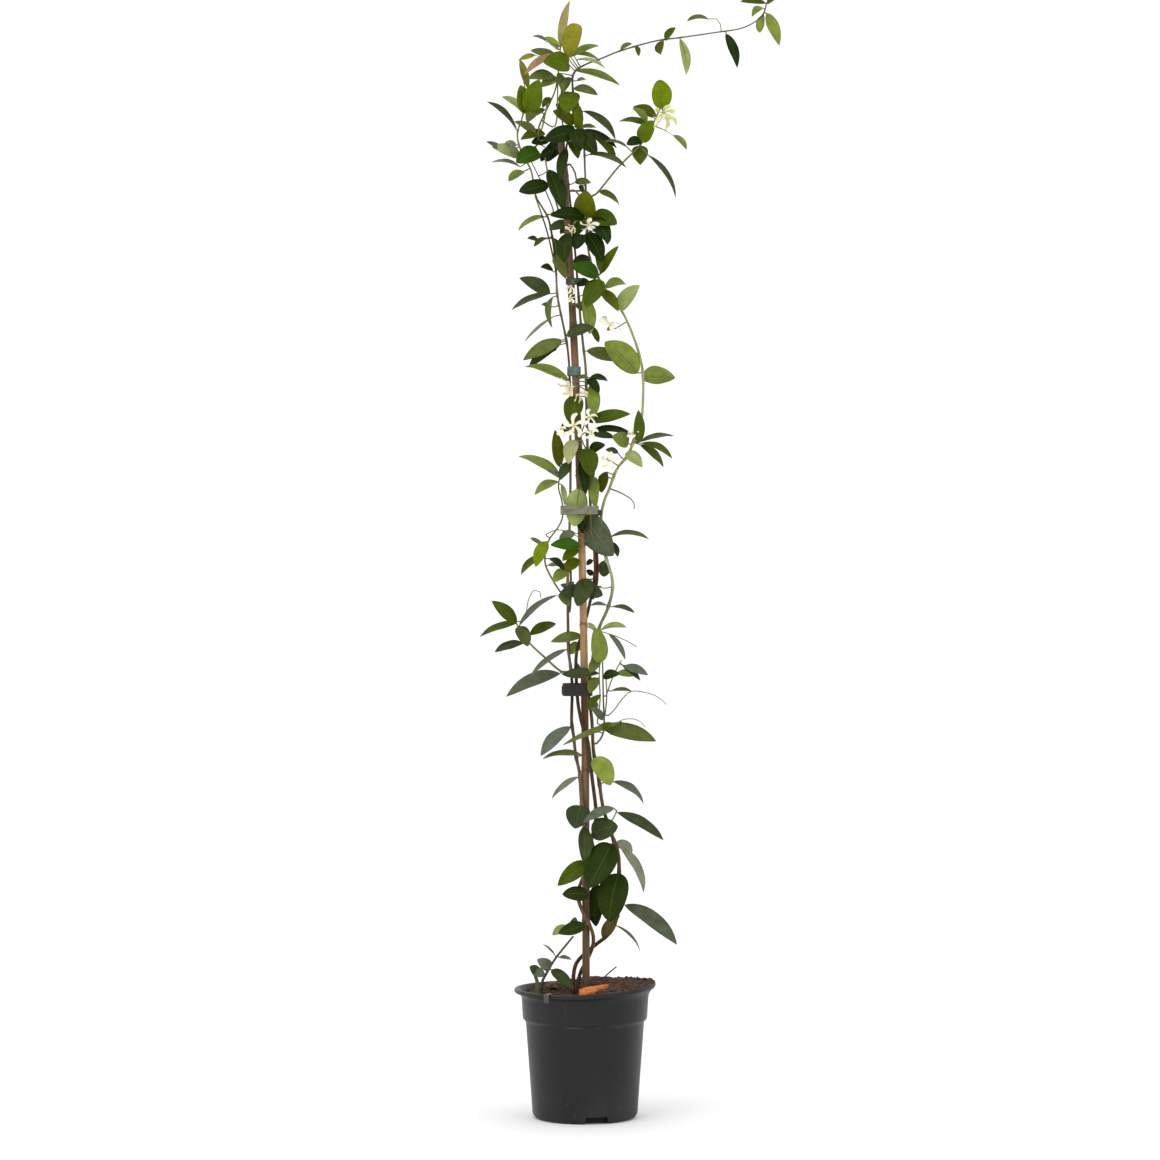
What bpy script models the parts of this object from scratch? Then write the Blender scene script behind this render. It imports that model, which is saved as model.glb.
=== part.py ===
"""Star jasmine climbing a bamboo cane in a black nursery pot.

Metres, +Z up. The origin is the centre of the pot's base, on the floor.
Tables of places are in millimetres and are turned to metres by MM.
"""
import math
import random

import bpy
import bmesh
from mathutils import Vector
from mathutils.bvhtree import BVHTree

MM = 0.001
CLEAR = 0.35          # gap kept between neighbouring pieces, mm

# Driving dimensions of the pot, mm
POT_SIDES = 30
BASE_RADIUS = 61.0
BODY_TOP_RADIUS = 69.5
BODY_TOP_HEIGHT = 112.0
COLLAR_RADIUS = 76.0
COLLAR_HEIGHT = 142.5
LIP_RADIUS = 85.0
LIP_HEIGHT = 158.5
WALL = 1.6
PLATE = 3.0
LIP_TILT = 3.8        # the soft rim stands this much higher on the right
NOTCH_WIDTH = 27.0
NOTCH_HEIGHT = 6.5
NOTCH_DEPTH = 11.0
NOTCH_BEARINGS = (-77.0, 43.0, 163.0)

# Soil
SOIL_LEVEL = 146.0
SOIL_HEAP = 12.5
SOIL_RINGS = 5

CHIP_DROP = 40.0      # height from which a chip is let down onto the soil

# Plant label
LABEL_BEARING = 238.0
LABEL_WIDTH = 8.0
LABEL_THICKNESS = 0.8

# Bamboo cane
CANE_RADIUS = 4.5
CANE_FOOT = 6.0
CANE_TOP = 1172.0
CANE_X = 1.2          # where the cane stands in the soil
CANE_BOW = 29.0       # how far its top leans to the left
BOW_START = 158.0
BOW_LENGTH = 1002.0
BOW_POWER = 2.7
CANE_JOINTS = (236.0, 415.0, 590.0, 770.0, 948.0, 1112.0)

# Stems
STEM_STEP = 24.0      # distance between the rings of a stem
HOLE_FLOOR = 110.0    # how deep the stems stand in the soil

# Leaves
BLADE_THICKNESS = 1.3
STALK_HALF = 0.8
BLADE_ARCH = 0.08
LONG_STALK = 7.0
BLADE_STATIONS = (0.12, 0.36, 0.64, 0.87)
SMALL_STATIONS = (0.14, 0.45, 0.82)
SMALL_LEAF = 33.0     # a leaf shorter than this has fewer stations
SECTION_SIDES = ((0, 1), (1, 2), (2, 0))
CROWN_DEPTH = 1.7     # how far the tips reach to the front and back, against their rows

# Flowers
TUBE_LENGTH = 6.5
TUBE_RADIUS = 1.1
PETALS = 5
PETAL_THICKNESS = 1.0
THROAT_DEPTH = 0.06
# One petal's outline as reach, turn in degrees and tilt forward: gap, lower edge, tip, upper edge
PETAL_OUTLINE = ((0.24, -34.0, 0.0), (0.72, -12.0, -0.05), (1.0, 14.0, 0.02), (0.66, 24.0, 0.12))


# Materials

def make_material(name, colour, roughness, metallic=0.0):
    material = bpy.data.materials.new(name)
    material.use_nodes = True
    shader = material.node_tree.nodes["Principled BSDF"]
    shader.inputs["Base Color"].default_value = (*colour, 1.0)
    shader.inputs["Roughness"].default_value = roughness
    shader.inputs["Metallic"].default_value = metallic
    material.diffuse_color = (*colour, 1.0)
    return material


# Helpers for meshes and routes

def add_object(name, mesh, material=None):
    item = bpy.data.objects.new(name, mesh)
    bpy.context.scene.collection.objects.link(item)
    if material is not None:
        mesh.materials.clear()
        mesh.materials.append(material)
    return item


def mesh_from(name, points, faces):
    mesh = bpy.data.meshes.new(name)
    mesh.from_pydata([Vector(point) * MM for point in points], [], faces)
    mesh.update()
    return mesh


def hide_cutter(item):
    item.hide_render = True
    item.display_type = "WIRE"


def evaluated_mesh(item):
    depsgraph = bpy.context.evaluated_depsgraph_get()
    return bpy.data.meshes.new_from_object(item.evaluated_get(depsgraph))


def cane_x(height):
    """Sideways place of the cane's axis at a height, mm."""
    rise = max(0.0, (height - BOW_START) / BOW_LENGTH)
    return CANE_X - CANE_BOW * rise ** BOW_POWER


def around_cane(row):
    """Point at (height, bearing, reach) from the cane's axis."""
    height, bearing, reach = row
    angle = math.radians(bearing)
    return Vector((cane_x(height) + reach * math.cos(angle), reach * math.sin(angle), height))


def blend_points(before, start, end, after, share):
    """Catmull-Rom curve from start to end."""
    square = share * share
    cube = square * share
    return 0.5 * (2 * start + (end - before) * share
                  + (2 * before - 5 * start + 4 * end - after) * square
                  + (3 * start - before - 3 * end + after) * cube)


def smooth_route(rows, place=Vector, step=STEM_STEP):
    """Points about a step apart on a smooth curve through rows, each put in place."""
    rows = [Vector(row) for row in rows]
    points = []
    for index in range(len(rows) - 1):
        before = rows[max(index - 1, 0)]
        after = rows[min(index + 2, len(rows) - 1)]
        start = rows[index]
        end = rows[index + 1]
        middle = blend_points(before, start, end, after, 0.5)
        length = (place(start) - place(middle)).length + (place(middle) - place(end)).length
        parts = max(1, round(length / step))
        for part in range(parts):
            points.append(place(blend_points(before, start, end, after, part / parts)))
    points.append(place(rows[-1]))
    return points


def make_tube(name, points, start_radius, end_radius, bevel_resolution=1):
    """Closed tapered tube along points, made from a bevelled curve."""
    curve = bpy.data.curves.new(name, "CURVE")
    curve.dimensions = "3D"
    curve.bevel_depth = MM
    curve.bevel_resolution = bevel_resolution
    curve.use_fill_caps = True
    spline = curve.splines.new("POLY")
    spline.points.add(len(points) - 1)
    last = len(points) - 1
    for index, point in enumerate(points):
        spline.points[index].co = (*(point * MM), 1.0)
        spline.points[index].radius = start_radius + (end_radius - start_radius) * index / last
    guide = bpy.data.objects.new(name, curve)
    bpy.context.scene.collection.objects.link(guide)
    mesh = evaluated_mesh(guide)
    bpy.data.objects.remove(guide)
    weld(mesh)
    return add_object(name, mesh)


def weld(mesh):
    work = bmesh.new()
    work.from_mesh(mesh)
    bmesh.ops.remove_doubles(work, verts=work.verts, dist=1e-7)
    bmesh.ops.recalc_face_normals(work, faces=work.faces)
    work.to_mesh(mesh)
    work.free()


def keep_largest_shell(mesh):
    """Drop sealed hollows and loose scraps that a union leaves."""
    work = bmesh.new()
    work.from_mesh(mesh)
    waiting = set(work.verts)
    shells = []
    while waiting:
        seed = waiting.pop()
        shell = [seed]
        front = [seed]
        while front:
            vertex = front.pop()
            for edge in vertex.link_edges:
                other = edge.other_vert(vertex)
                if other in waiting:
                    waiting.remove(other)
                    shell.append(other)
                    front.append(other)
        shells.append(shell)
    shells.sort(key=len, reverse=True)
    scraps = [vertex for shell in shells[1:] for vertex in shell]
    bmesh.ops.delete(work, geom=scraps, context="VERTS")
    bmesh.ops.dissolve_degenerate(work, edges=work.edges, dist=2e-6)
    bmesh.ops.triangulate(work, faces=work.faces)
    work.to_mesh(mesh)
    work.free()
    return [len(shell) for shell in shells]


def fuse(name, pieces, material):
    """Join closed pieces into one solid with one union on a collection."""
    collection = bpy.data.collections.new(name + "_pieces")
    bpy.context.scene.collection.children.link(collection)
    for piece in pieces[1:]:
        bpy.context.scene.collection.objects.unlink(piece)
        collection.objects.link(piece)
    union = pieces[0].modifiers.new("join", "BOOLEAN")
    union.operation = "UNION"
    union.operand_type = "COLLECTION"
    union.collection = collection
    union.solver = "MANIFOLD"
    mesh = evaluated_mesh(pieces[0])
    for piece in pieces:
        bpy.data.objects.remove(piece)
    bpy.data.collections.remove(collection)
    sizes = keep_largest_shell(mesh)
    if len(sizes) > 1:
        print(name, "shells after the union:", sizes)
    mesh.name = name
    return add_object(name, mesh, material)


# Leaf blades

def blade_width(share):
    """Half width of a blade, as a part of its widest half width."""
    return share ** 0.7 * (1.0 - share) ** 0.85 / 0.344


def face_direction(axis, turn):
    """Way that a blade looks: to the viewer at turn 0, to the sky at 90, away past 90."""
    viewer = Vector((0.0, -1.0, 0.0))
    facing = (viewer - axis * viewer.dot(axis)).normalized()
    sideways = axis.cross(facing)
    if sideways.z < -1e-6:
        sideways = -sideways
    angle = math.radians(turn)
    return facing * math.cos(angle) + sideways * math.sin(angle)


def make_blade(name, root, base, tip, width, facing, arch=BLADE_ARCH, stations=BLADE_STATIONS):
    """Closed thin blade from root, along a stalk to base, and on to a pointed tip."""
    axis = tip - base
    length = axis.length
    axis.normalize()
    across = facing.cross(axis).normalized()
    blade = []
    for share in stations:
        lift = facing * (arch * length * 4 * share * (1 - share))
        blade.append((base + axis * (length * share) + lift, axis, width / 2 * blade_width(share)))
    if (base - root).length > LONG_STALK:
        stalk = (base - root).normalized()
        foot = [(root, stalk, STALK_HALF), (base, stalk + axis, STALK_HALF)]
    else:
        foot = [(root, blade[0][0] - root, STALK_HALF)]
    points = []
    for centre, along, half in foot + blade:
        sideways = across - along * (across.dot(along) / along.length_squared)
        sideways.normalize()
        outward = along.cross(sideways).normalized() * (BLADE_THICKNESS / 2)
        points += [centre - sideways * half + outward, centre + sideways * half + outward, centre - outward]
    points.append(tip)
    faces = [(0, 2, 1)]
    for near in range(0, len(points) - 4, 3):
        for first, second in SECTION_SIDES:
            faces.append((near + first, near + second, near + second + 3))
            faces.append((near + first, near + second + 3, near + first + 3))
    end = len(points) - 4
    for first, second in SECTION_SIDES:
        faces.append((end + first, end + second, end + 3))
    mesh = mesh_from(name, points, faces)
    weld(mesh)
    return add_object(name, mesh)


def nearest_point(routes, target):
    """Closest point to target on any of the routes."""
    best = routes[0][0]
    for route in routes:
        for start, end in zip(route, route[1:]):
            along = end - start
            share = (target - start).dot(along) / along.length_squared
            point = start + along * min(1.0, max(0.0, share))
            if (point - target).length < (best - target).length:
                best = point
    return best


def make_leaf(name, routes, row):
    """Leaf from its row: base x y z, tip x y z, width, turn and, if curled, its arch."""
    base = Vector(row[0:3])
    tip = Vector((row[3], row[1] + CROWN_DEPTH * (row[4] - row[1]), row[5]))
    arch = row[8] if len(row) > 8 else BLADE_ARCH
    facing = face_direction((tip - base).normalized(), row[7])
    stations = SMALL_STATIONS if (tip - base).length < SMALL_LEAF else BLADE_STATIONS
    return make_blade(name, nearest_point(routes, base), base, tip, row[6], facing, arch, stations)


# Stems, each a list of (height, bearing, reach) about the cane's axis.
# Bearing 0 is right, 90 back, 180 left and 270 front. All twine the same way.

RIGHT_STEM = [
    (112, 160, 16.5), (150, 160, 16.5), (160, 160, 16.5), (178, 138, 18), (190, 105, 20), (204, 58, 21),
    (217, 20, 28), (231, 12, 35), (246, 8, 39), (270, 6, 40), (291, 4, 40), (314, 2, 39),
    (336, 0, 32), (369, -4, 21.5), (402, -8, 16.5), (422, -10, 13.5), (440, -12, 10),
    (470, 10, 8.8), (510, 58, 8.8), (548, 18, 10.5), (584, -5, 18), (608, -8, 29),
    (630, -8, 35.5), (648, -8, 35.5), (674, -4, 28), (700, 0, 24.5), (721, 3, 24.5),
    (740, 3, 29), (752, 2, 34.5), (777, 0, 45), (794, -3, 59), (816, -5, 68.5),
    (832, -6, 76), (856, -6, 79.5), (890, -6, 81), (915, -5, 77.5), (945, -3, 68.5),
    (970, 0, 57.5), (996, 4, 39.5), (1026, 8, 26), (1055, 5, 23), (1080, 0, 24),
    (1105, -4, 25), (1135, -6, 26), (1158, -6, 27), (1185, -8, 27), (1205, -10, 28)]

LEFT_STEM = [
    (112, 900, 9.5), (150, 900, 9.5), (160, 898, 9.2), (185, 810, 9), (212, 720, 9), (239, 630, 9.2),
    (266, 540, 9.2), (293, 450, 9), (320, 360, 9), (349, 270, 9), (375, 238, 9),
    (412, 222, 9.5), (435, 195, 12), (458, 186, 14), (474, 182, 16), (505, 181, 15),
    (523, 180, 15), (545, 180, 17), (560, 180, 18.5), (600, 180, 18.5), (630, 180, 18),
    (654, 179, 17.5), (700, 176, 14.5), (760, 172, 11.5), (820, 178, 9.5), (870, 184, 7.8),
    (905, 186, 7.4), (930, 186, 9), (950, 184, 12), (985, 180, 17), (1016, 178, 17),
    (1050, 178, 18.5), (1077, 178, 22), (1094, 178, 30), (1106, 179, 35.5), (1136, 180, 39),
    (1155, 182, 48), (1178, 183, 52), (1200, 184, 44), (1226, 186, 37)]

MIDDLE_STEM = [
    (112, 450, 14.3), (150, 450, 14.3), (160, 450, 14.3), (240, 448, 14.3), (300, 440, 14.2),
    (335, 415, 13.5),
    (355, 375, 12.5), (369, 352, 12.5), (406, 325, 9.8), (428, 310, 9.2), (450, 292, 9.2),
    (462, 264, 9.2), (484, 228, 9.3), (505, 203, 9.6), (546, 172, 10), (576, 110, 9.6),
    (602, 62, 9.6), (618, 32, 10), (639, 6, 14), (660, 0, 15.5), (679, -4, 15),
    (700, -8, 12), (721, -10, 12), (760, -5, 11.5), (800, -15, 11), (850, -12, 11.5),
    (896, -8, 12.5), (930, -5, 10.5), (960, 5, 9), (1000, 12, 8.3), (1050, 30, 8.2),
    (1094, 48, 8.6), (1130, 60, 9), (1160, 58, 9.5), (1185, 22, 13), (1205, 5, 17),
    (1225, 0, 19), (1250, -3, 21), (1261, -3, 34), (1270, -3, 58), (1279, -3, 82),
    (1290, -3, 124), (1294, -3, 155.5), (1300, -3, 200), (1304, -3, 226.5),
    (1312.5, -3, 246), (1323, -3, 257), (1335, -3, 261)]

# Side shoots: thickness at the root and at the end, then points x y z

RIGHT_SHOOTS = [
    (0.9, 0.7, [(33, 2, 356), (38, 0, 367)]),
    (1.1, 0.6, [(14, -4, 448), (21, -6, 458), (23, -7, 474), (22, -8, 500), (21.5, -9, 525),
                (21, -9, 546)]),
    (0.7, 0.5, [(25, -10, 505), (31, -12, 522), (38, -12, 538), (44, -12, 548)]),
    (0.8, 0.4, [(28, -12, 482), (36, -15, 490), (44, -16, 501), (56, -16, 511), (78, -14, 508),
                (90, -12, 502), (97, -11, 495)]),
    (0.6, 0.4, [(34, -14, 470), (45, -18, 477), (58, -19, 478), (67, -18, 474), (72, -17, 468)]),
    (0.6, 0.5, [(36, -8, 577), (50, -10, 571), (62, -10, 564)]),
    (0.6, 0.4, [(42, -3, 749), (54, -5, 742), (58.5, -5, 737), (59, -5, 729)]),
    (1.2, 0.8, [(12.6, -8, 1106), (38, -12, 1136), (56, -14, 1154), (68.4, -14, 1167), (79, -14, 1184),
                (85, -14, 1198), (90, -14, 1208)])]

LEFT_SHOOTS = [
    (1.4, 0.9, [(-28, -4, 534), (-49, -8, 552), (-66, -8, 568), (-79, -6, 586), (-83, -6, 594)]),
    (0.7, 0.5, [(-72, -12, 598), (-68, -16, 619), (-61, -16, 632), (-54, -15, 630), (-53, -14, 622)]),
    (1.2, 0.8, [(-28, -9, 628), (-42, -12, 650), (-48, -12, 667), (-44, -11, 690), (-33, -8, 706),
                (-27.5, -5, 717), (-26.5, -4, 728), (-28, -3, 740), (-32, -1, 757), (-28, 0, 777),
                (-28, 0, 790)]),
    (0.7, 0.5, [(-47, -16, 698), (-32, -22, 704), (-15, -25, 699), (1, -24, 690)]),
    (0.9, 0.6, [(-38, 8, 1087), (-47, 9, 1111), (-59, 9, 1136), (-66, 8, 1150)]),
    (1.2, 0.8, [(-58, -4, 1165), (-55, -5, 1188), (-42, -6, 1216), (-35, -5, 1234), (-31, -3, 1262),
                (-29.5, -2, 1284)])]

MIDDLE_SHOOTS = [
    (0.9, 0.8, [(0, -12, 803), (-4, -18, 812), (-5, -21, 816)]),
    (0.6, 0.5, [(162, -8, 1310), (158, -8, 1316), (148, -8, 1316)])]

# Leaves: base x y z, tip x y z, width, turn and, if curled, arch

RIGHT_LEAVES = [
    (45.6, 0, 252, 108, -14, 211, 23, 40), (40, -4, 290, 27.6, -14, 236, 34, 12),
    (32, 4, 238, 20, 10, 214, 14, 20), (38, 2, 229, 67, 14, 196, 12, 68),
    (36, -6, 322, 6, -20, 281, 30, 15), (38, 4, 328, 58, 18, 316, 14, 140),
    (48, 8, 318, 71, 14, 267, 15, 55, 0.16), (34, -4, 371, -2, -24, 356, 15, 40),
    (40, -2, 364, 94, -12, 334, 18, 45), (34, 0, 402, 71, 6, 375, 15, 58, 0.16),
    (15, -8, 429, 28, -15, 397, 22, 160), (29, -4, 461, 85, -10, 452, 22, 40),
    (22, -10, 462, 46, -26, 475, 9, 50), (18, -11, 478, 6, -22, 492, 11, 30),
    (31, -12, 511, 56, -20, 511, 9, 60), (24, -10, 528, 41, -20, 535, 12, 35),
    (41, -15, 541, 64, -4, 533, 9, 130), (45, -14, 545, 73, -24, 532, 12, 45),
    (19, 0, 584, 50, 14, 587, 14, 125), (29, -6, 579, 48, -14, 549, 12, 55),
    (32, -6, 612, 59, -16, 605, 12, 62), (28, -8, 613, 7, -24, 614, 11, 70),
    (22, 0, 668, 23, 8, 648, 14, 10), (31, -4, 696, 76, -14, 694, 14, 62),
    (31, 0, 690, 40, 10, 672, 9, 30), (26, 4, 774, 19, 9, 749, 14, 20),
    (40, 3, 796, 25, 12, 802, 9, 30), (52, -4, 794, 68, -14, 779, 15, 25),
    (52, 0, 806, 34, 12, 818, 17, 150), (6, 11, 497, 15, 24, 487, 12, 40),
    (12, -4, 1009, -17, -18, 1016, 19, 20), (62, -4, 812, 67, 2, 846, 14, 20),
    (67, -8, 810, 107, -4, 817, 12, 55), (67, -8, 808, 104, -20, 790, 13, 50),
    (66, -8, 806, 95, 4, 780, 13, 40), (65, -8, 892, 27.6, -14, 930, 27, 165),
    (69, -8, 890, 107, -16, 886, 23, 155), (24, 6, 995, 50, 14, 1000, 14, 50, 0.2),
    (42, 0, 970, 65, -12, 996, 17, 25), (22, 2, 988, 40, -8, 968, 14, 40),
    (18, 4, 1012, 40, -6, 1044, 14, 30), (0, -7, 1079, -40, -18, 1081, 14, 32),
    (1, -7, 1080, -7, -24, 1106, 24, 150), (16, 2, 1084, 38, 12, 1068, 15, 140),
    (12, 0, 1074, 29, -9, 1046, 17, 15), (14, 4, 1052, 19, 14, 1026, 14, 25),
    (16, 0, 1110, 42, 12, 1096, 14, 50), (52, -12, 1161, 23, -22, 1167, 13, 62),
    (4, -6, 1154, 49, -18, 1137, 15, 52), (4, 2, 1184, 38, 12, 1148, 15, 35),
    (-2, -6, 1206, 37, -14, 1171, 16, 45), (106, -14, 1176, 122, -10, 1160, 10, 130),
    (85, -14, 1198, 58, -2, 1213, 15, 140), (78, -14, 1188, 40, -6, 1195, 15, 50),
    (84, -13, 1194, 72, -16, 1168, 17, 25), (66, -14, 1170, 50, -24, 1164, 13, 30),
    (70, -12, 1166, 66, -2, 1143, 18, 15), (76, -14, 1152, 110, -4, 1104, 14, 55),
    (90, -14, 1208, 90, -24, 1240, 26, 165), (40, 8, 272, 34, 32, 258, 18, 170),
    (30, 6, 326, 26, 30, 312, 18, 165), (16, 6, 404, 12, 28, 392, 17, 170),
    (8, 8, 470, 6, 30, 462, 16, 168), (14, 8, 530, 20, 30, 520, 16, 170),
    (33, 2, 640, 28, 24, 634, 15, 165), (18, 4, 702, 22, 28, 696, 16, 170),
    (32, 4, 760, 36, 26, 752, 14, 170), (70, -2, 860, 74, 18, 850, 14, 165),
    (62, 2, 925, 66, 22, 918, 14, 168), (2, 6, 1060, 8, 28, 1052, 16, 170),
    (2, 4, 1130, 6, 28, 1124, 16, 170)]

LEFT_LEAVES = [
    (-2, -10, 232, -30, -22, 217, 16, 35),
    (-6, -11, 257, -28, -20, 268, 19, 35), (-3, -12, 316, -30, -20, 279, 19, 25),
    (-4, -12, 352, 2, -20, 308, 18, 20), (-2, -12, 372, -13, -24, 350, 26, 15),
    (-8, -8, 408, -38, 4, 381, 13, 60), (-12, -4, 432, -51, -14, 431, 15, 68),
    (-18, -2, 468, -53, -12, 434, 20, 40), (-30, -6, 532, -94, -14, 505, 25, 35),
    (-26, -8, 534, 16, -20, 535, 18, 48), (-22, -8, 561, -66, -26, 529, 14, 50),
    (-24, -6, 577, -44, -18, 570, 15, 45), (-82, -6, 592, -110, -14, 619, 16, 25),
    (-82, -6, 592, -127, 0, 576, 15, 55), (-79, -8, 589, -34, -30, 627, 16, 55),
    (-76, -6, 586, -68, -18, 566, 17, 25), (-66, -8, 578, -35, 6, 592, 16, 40),
    (-74, -6, 568, -109, 4, 558, 14, 45), (-46, -14, 690, -58, -22, 660, 16, 15),
    (-52, -10, 673, -78, 4, 650, 12, 40), (-48, -10, 686, -65, 2, 694, 9, 30),
    (-42, -14, 670, -25, -26, 655, 12, 40), (-24, -10, 656, -37, -20, 642, 12, 20),
    (-20, -6, 642, -27, -20, 620, 16, 25), (-20, 7, 664, -28, 18, 654, 13, 140),
    (-30, 0, 768, -80, 10, 794, 17, 50),
    (-30, -2, 780, -33, -4, 822, 16, 40), (-32, -2, 762, -60, -16, 746, 14, 45),
    (-19, -4, 882, -72, -14, 900, 17, 130), (-28, -2, 932, -74, -12, 907, 18, 20),
    (-28, 4, 930, -68, 14, 901, 15, 25), (-22, -8, 937, 10, -21, 946, 17, 30),
    (-38, -2, 960, -72, 12, 932, 14, 72),
    (-38, -2, 978, -40, -10, 949, 9, 40, 0.2), (-40, -2, 972, -52, -8, 974, 8, 30),
    (-42, -2, 988, -78, -12, 1005, 18, 20), (-42, 0, 988, -89, 10, 970, 15, 55),
    (-38, 0, 1014, -53, -10, 1018, 12, 45), (-32, 4, 1024, -36, 14, 1055, 17, 140),
    (-44, 2, 1055, -68, -6, 1053, 14, 50), (-48, 0, 1080, -80, -10, 1062, 14, 52),
    (-46, 4, 1130, -28, 14, 1090, 15, 30), (-60, 0, 1122, -74, -14, 1101, 17, 25),
    (-62, -5, 1160, -84, -14, 1150, 18, 30), (-74, 2, 1135, -92, 12, 1125, 14, 130),
    (-78, 0, 1140, -112, -6, 1144, 12, 62), (-82, 0, 1150, -116, -8, 1168, 12, 30),
    (-82, 2, 1150, -104, 14, 1150, 14, 140), (-82, 0, 1167, -95, -8, 1166, 8, 30),
    (-59, -5, 1179, -84, -14, 1192, 15, 125), (-82, 0, 1184, -116, -12, 1216, 14, 58),
    (-74, 0, 1204, -100, 12, 1227, 14, 125), (-50, -6, 1206, -71, -20, 1196, 13, 45),
    (-74, -5, 1212, -81, -15, 1239, 17, 10), (-62, -4, 1208, -54, -18, 1238, 17, 10),
    (-36, -4, 1246, -66, -20, 1243, 18, 35), (-33, -4, 1274, -72, -14, 1248, 14, 40),
    (-66, 4, 1272, -70, 8, 1236, 12, 30, 0.2), (-34, 0, 1278, -65, -14, 1279, 17, 35),
    (-33, 0, 1280, -62, 12, 1297, 16, 130), (-29, -2, 1283, -19, -6, 1337, 14, 20),
    (-20, 5, 560, -26, 28, 550, 17, 170), (-22, 5, 640, -17, 28, 630, 17, 165),
    (-20, 5, 700, -26, 28, 690, 16, 170), (-20, 6, 830, -26, 30, 820, 17, 170),
    (-32, 5, 962, -28, 28, 950, 16, 168), (-38, 5, 1040, -42, 28, 1030, 16, 170),
    (-60, 6, 1112, -56, 26, 1100, 15, 165), (-82, 3, 1172, -84, 24, 1160, 14, 170)]

MIDDLE_LEAVES = [
    (4, 18, 271, 8, 25, 228, 20, 20), (13, 16, 342, 38, 27, 350, 22, 20),
    (0, 18, 232, -37, 22, 226, 14, 40), (-4, 12, 534, 6, 24, 524, 13, 20),
    (6, 4, 832, 52, 14, 843, 17, 45), (10, 5, 824, 56, 20, 819, 14, 60),
    (12, 8, 592, 16, 14, 546, 22, 160), (12, -4, 640, -11, -20, 613, 24, 20),
    (10, -8, 718, 30, -20, 672, 30, 15),
    (6, -12, 684, -40, -24, 682, 17, 32), (-8, -12, 698, -24, -16, 676, 12, 30),
    (-7, -9, 753, -12, -12, 707, 27, 172, 0.02), (8, 8, 768, 12, 12, 738, 12, 150),
    (-2, -10, 800, 6, -22, 768, 19, 20), (-10, 10, 806, -20, 20, 780, 19, 155),
    (14, 8, 806, 21, 20, 786, 10, 20), (-12, -8, 860, -20, -20, 832, 18, 20),
    (4, 6, 842, 10, 12, 874, 16, 150), (4, -6, 887, -8, -18, 884, 8, 40),
    (6, 0, 887, 28, 10, 884, 11, 40), (8, -4, 910, 28, -14, 924, 18, 20),
    (-2, -8, 986, 6, -18, 937, 18, 160),
    (6, 2, 950, 17, 10, 930, 9, 20),
    (-8, -6, 1120, 6, -24, 1119, 12, 55), (-10, -8, 1182, -42, -22, 1164, 21, 25),
    (-12, -8, 1178, 12, -24, 1154, 21, 20), (-12, 8, 1205, -30, 18, 1186, 18, 150),
    (-8, 4, 1212, -7, 12, 1185, 13, 140), (-4, 4, 1188, 14, 10, 1189, 8, 40),
    (-17, -6, 1232, -22, -18, 1201, 25, 10), (-12, -4, 1234, 14, -20, 1225, 14, 45),
    (-12, 4, 1254, 42, 12, 1242, 15, 122), (-1, -7, 1264, 24, -16, 1254, 12, 68),
    (-18, -6, 1262, -46, -22, 1254, 21, 15), (-12, 4, 1264, 12, 16, 1288, 12, 40),
    (-8, 2, 1262, 19, 20, 1272, 10, 55), (-16, -4, 1262, -8, -28, 1308, 22, 15),
    (42, -4, 1279, 56, -12, 1285, 9, 40), (60, -6, 1284, 65, 2, 1274, 8, 30),
    (96, -7, 1291, 108, -14, 1304, 11, 30), (94, -7, 1290, 90, 2, 1276, 12, 30, 0.2),
    (114, -8, 1292, 122, -2, 1251, 14, 140), (148, -8, 1316, 122, -16, 1312, 12, 50),
    (169, -10, 1298, 182, -18, 1256, 15, 30), (214, -12, 1320, 209, -4, 1301, 12, 30),
    (218, -13, 1322, 232, -20, 1282, 16, 15), (214, -13, 1328, 199, -22, 1316, 12, 40, 0.2),
    (216, -13, 1334, 186, -8, 1338, 10, 30), (218, -13, 1334, 229, -20, 1339, 9, 30),
    (0, 18, 240, -8, 38, 228, 16, 172), (2, 18, 298, 8, 40, 286, 18, 170),
    (2, 6, 788, 6, 28, 780, 16, 170), (-6, 6, 978, 0, 28, 970, 16, 168),
    (-20, 11, 1140, -14, 30, 1132, 16, 170), (-14, 4, 1216, -8, 26, 1208, 15, 165)]

# Flowers: stem, centre x y z, way it looks, petal reach
FLOWERS = [
    ("middle", (-13, -32, 828), (0.0, -1.0, 0.1), 12.0),
    ("middle", (5, -30, 838), (0.4, -0.9, 0.4), 10.0),
    ("middle", (-29, -24, 824), (-0.8, -0.8, 0.0), 9.0),
    ("middle", (7, -34, 820), (0.5, -0.9, -0.2), 10.0),
    ("right", (5, -21, 1068), (0.0, -0.55, -0.85), 12.0),
    ("middle", (-17, -22, 980), (-0.1, -0.8, 0.7), 8.0),
    ("right", (30, -10, 951), (0.5, -0.4, 0.8), 9.0),
    ("right", (57, -16, 820), (-0.4, -0.7, 0.6), 8.0),
    ("right", (28, -12, 786), (0.3, -0.9, -0.3), 8.0),
    ("right", (94, -24, 1202), (0.25, -0.5, -0.85), 14.0)]

# Closed buds: stem, root end x y z, tip x y z
BUDS = [
    ("middle", (-9, -16, 876), (-25, -20, 872)),
    ("middle", (-17, -16, 1062), (-24, -22, 1066))]

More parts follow.
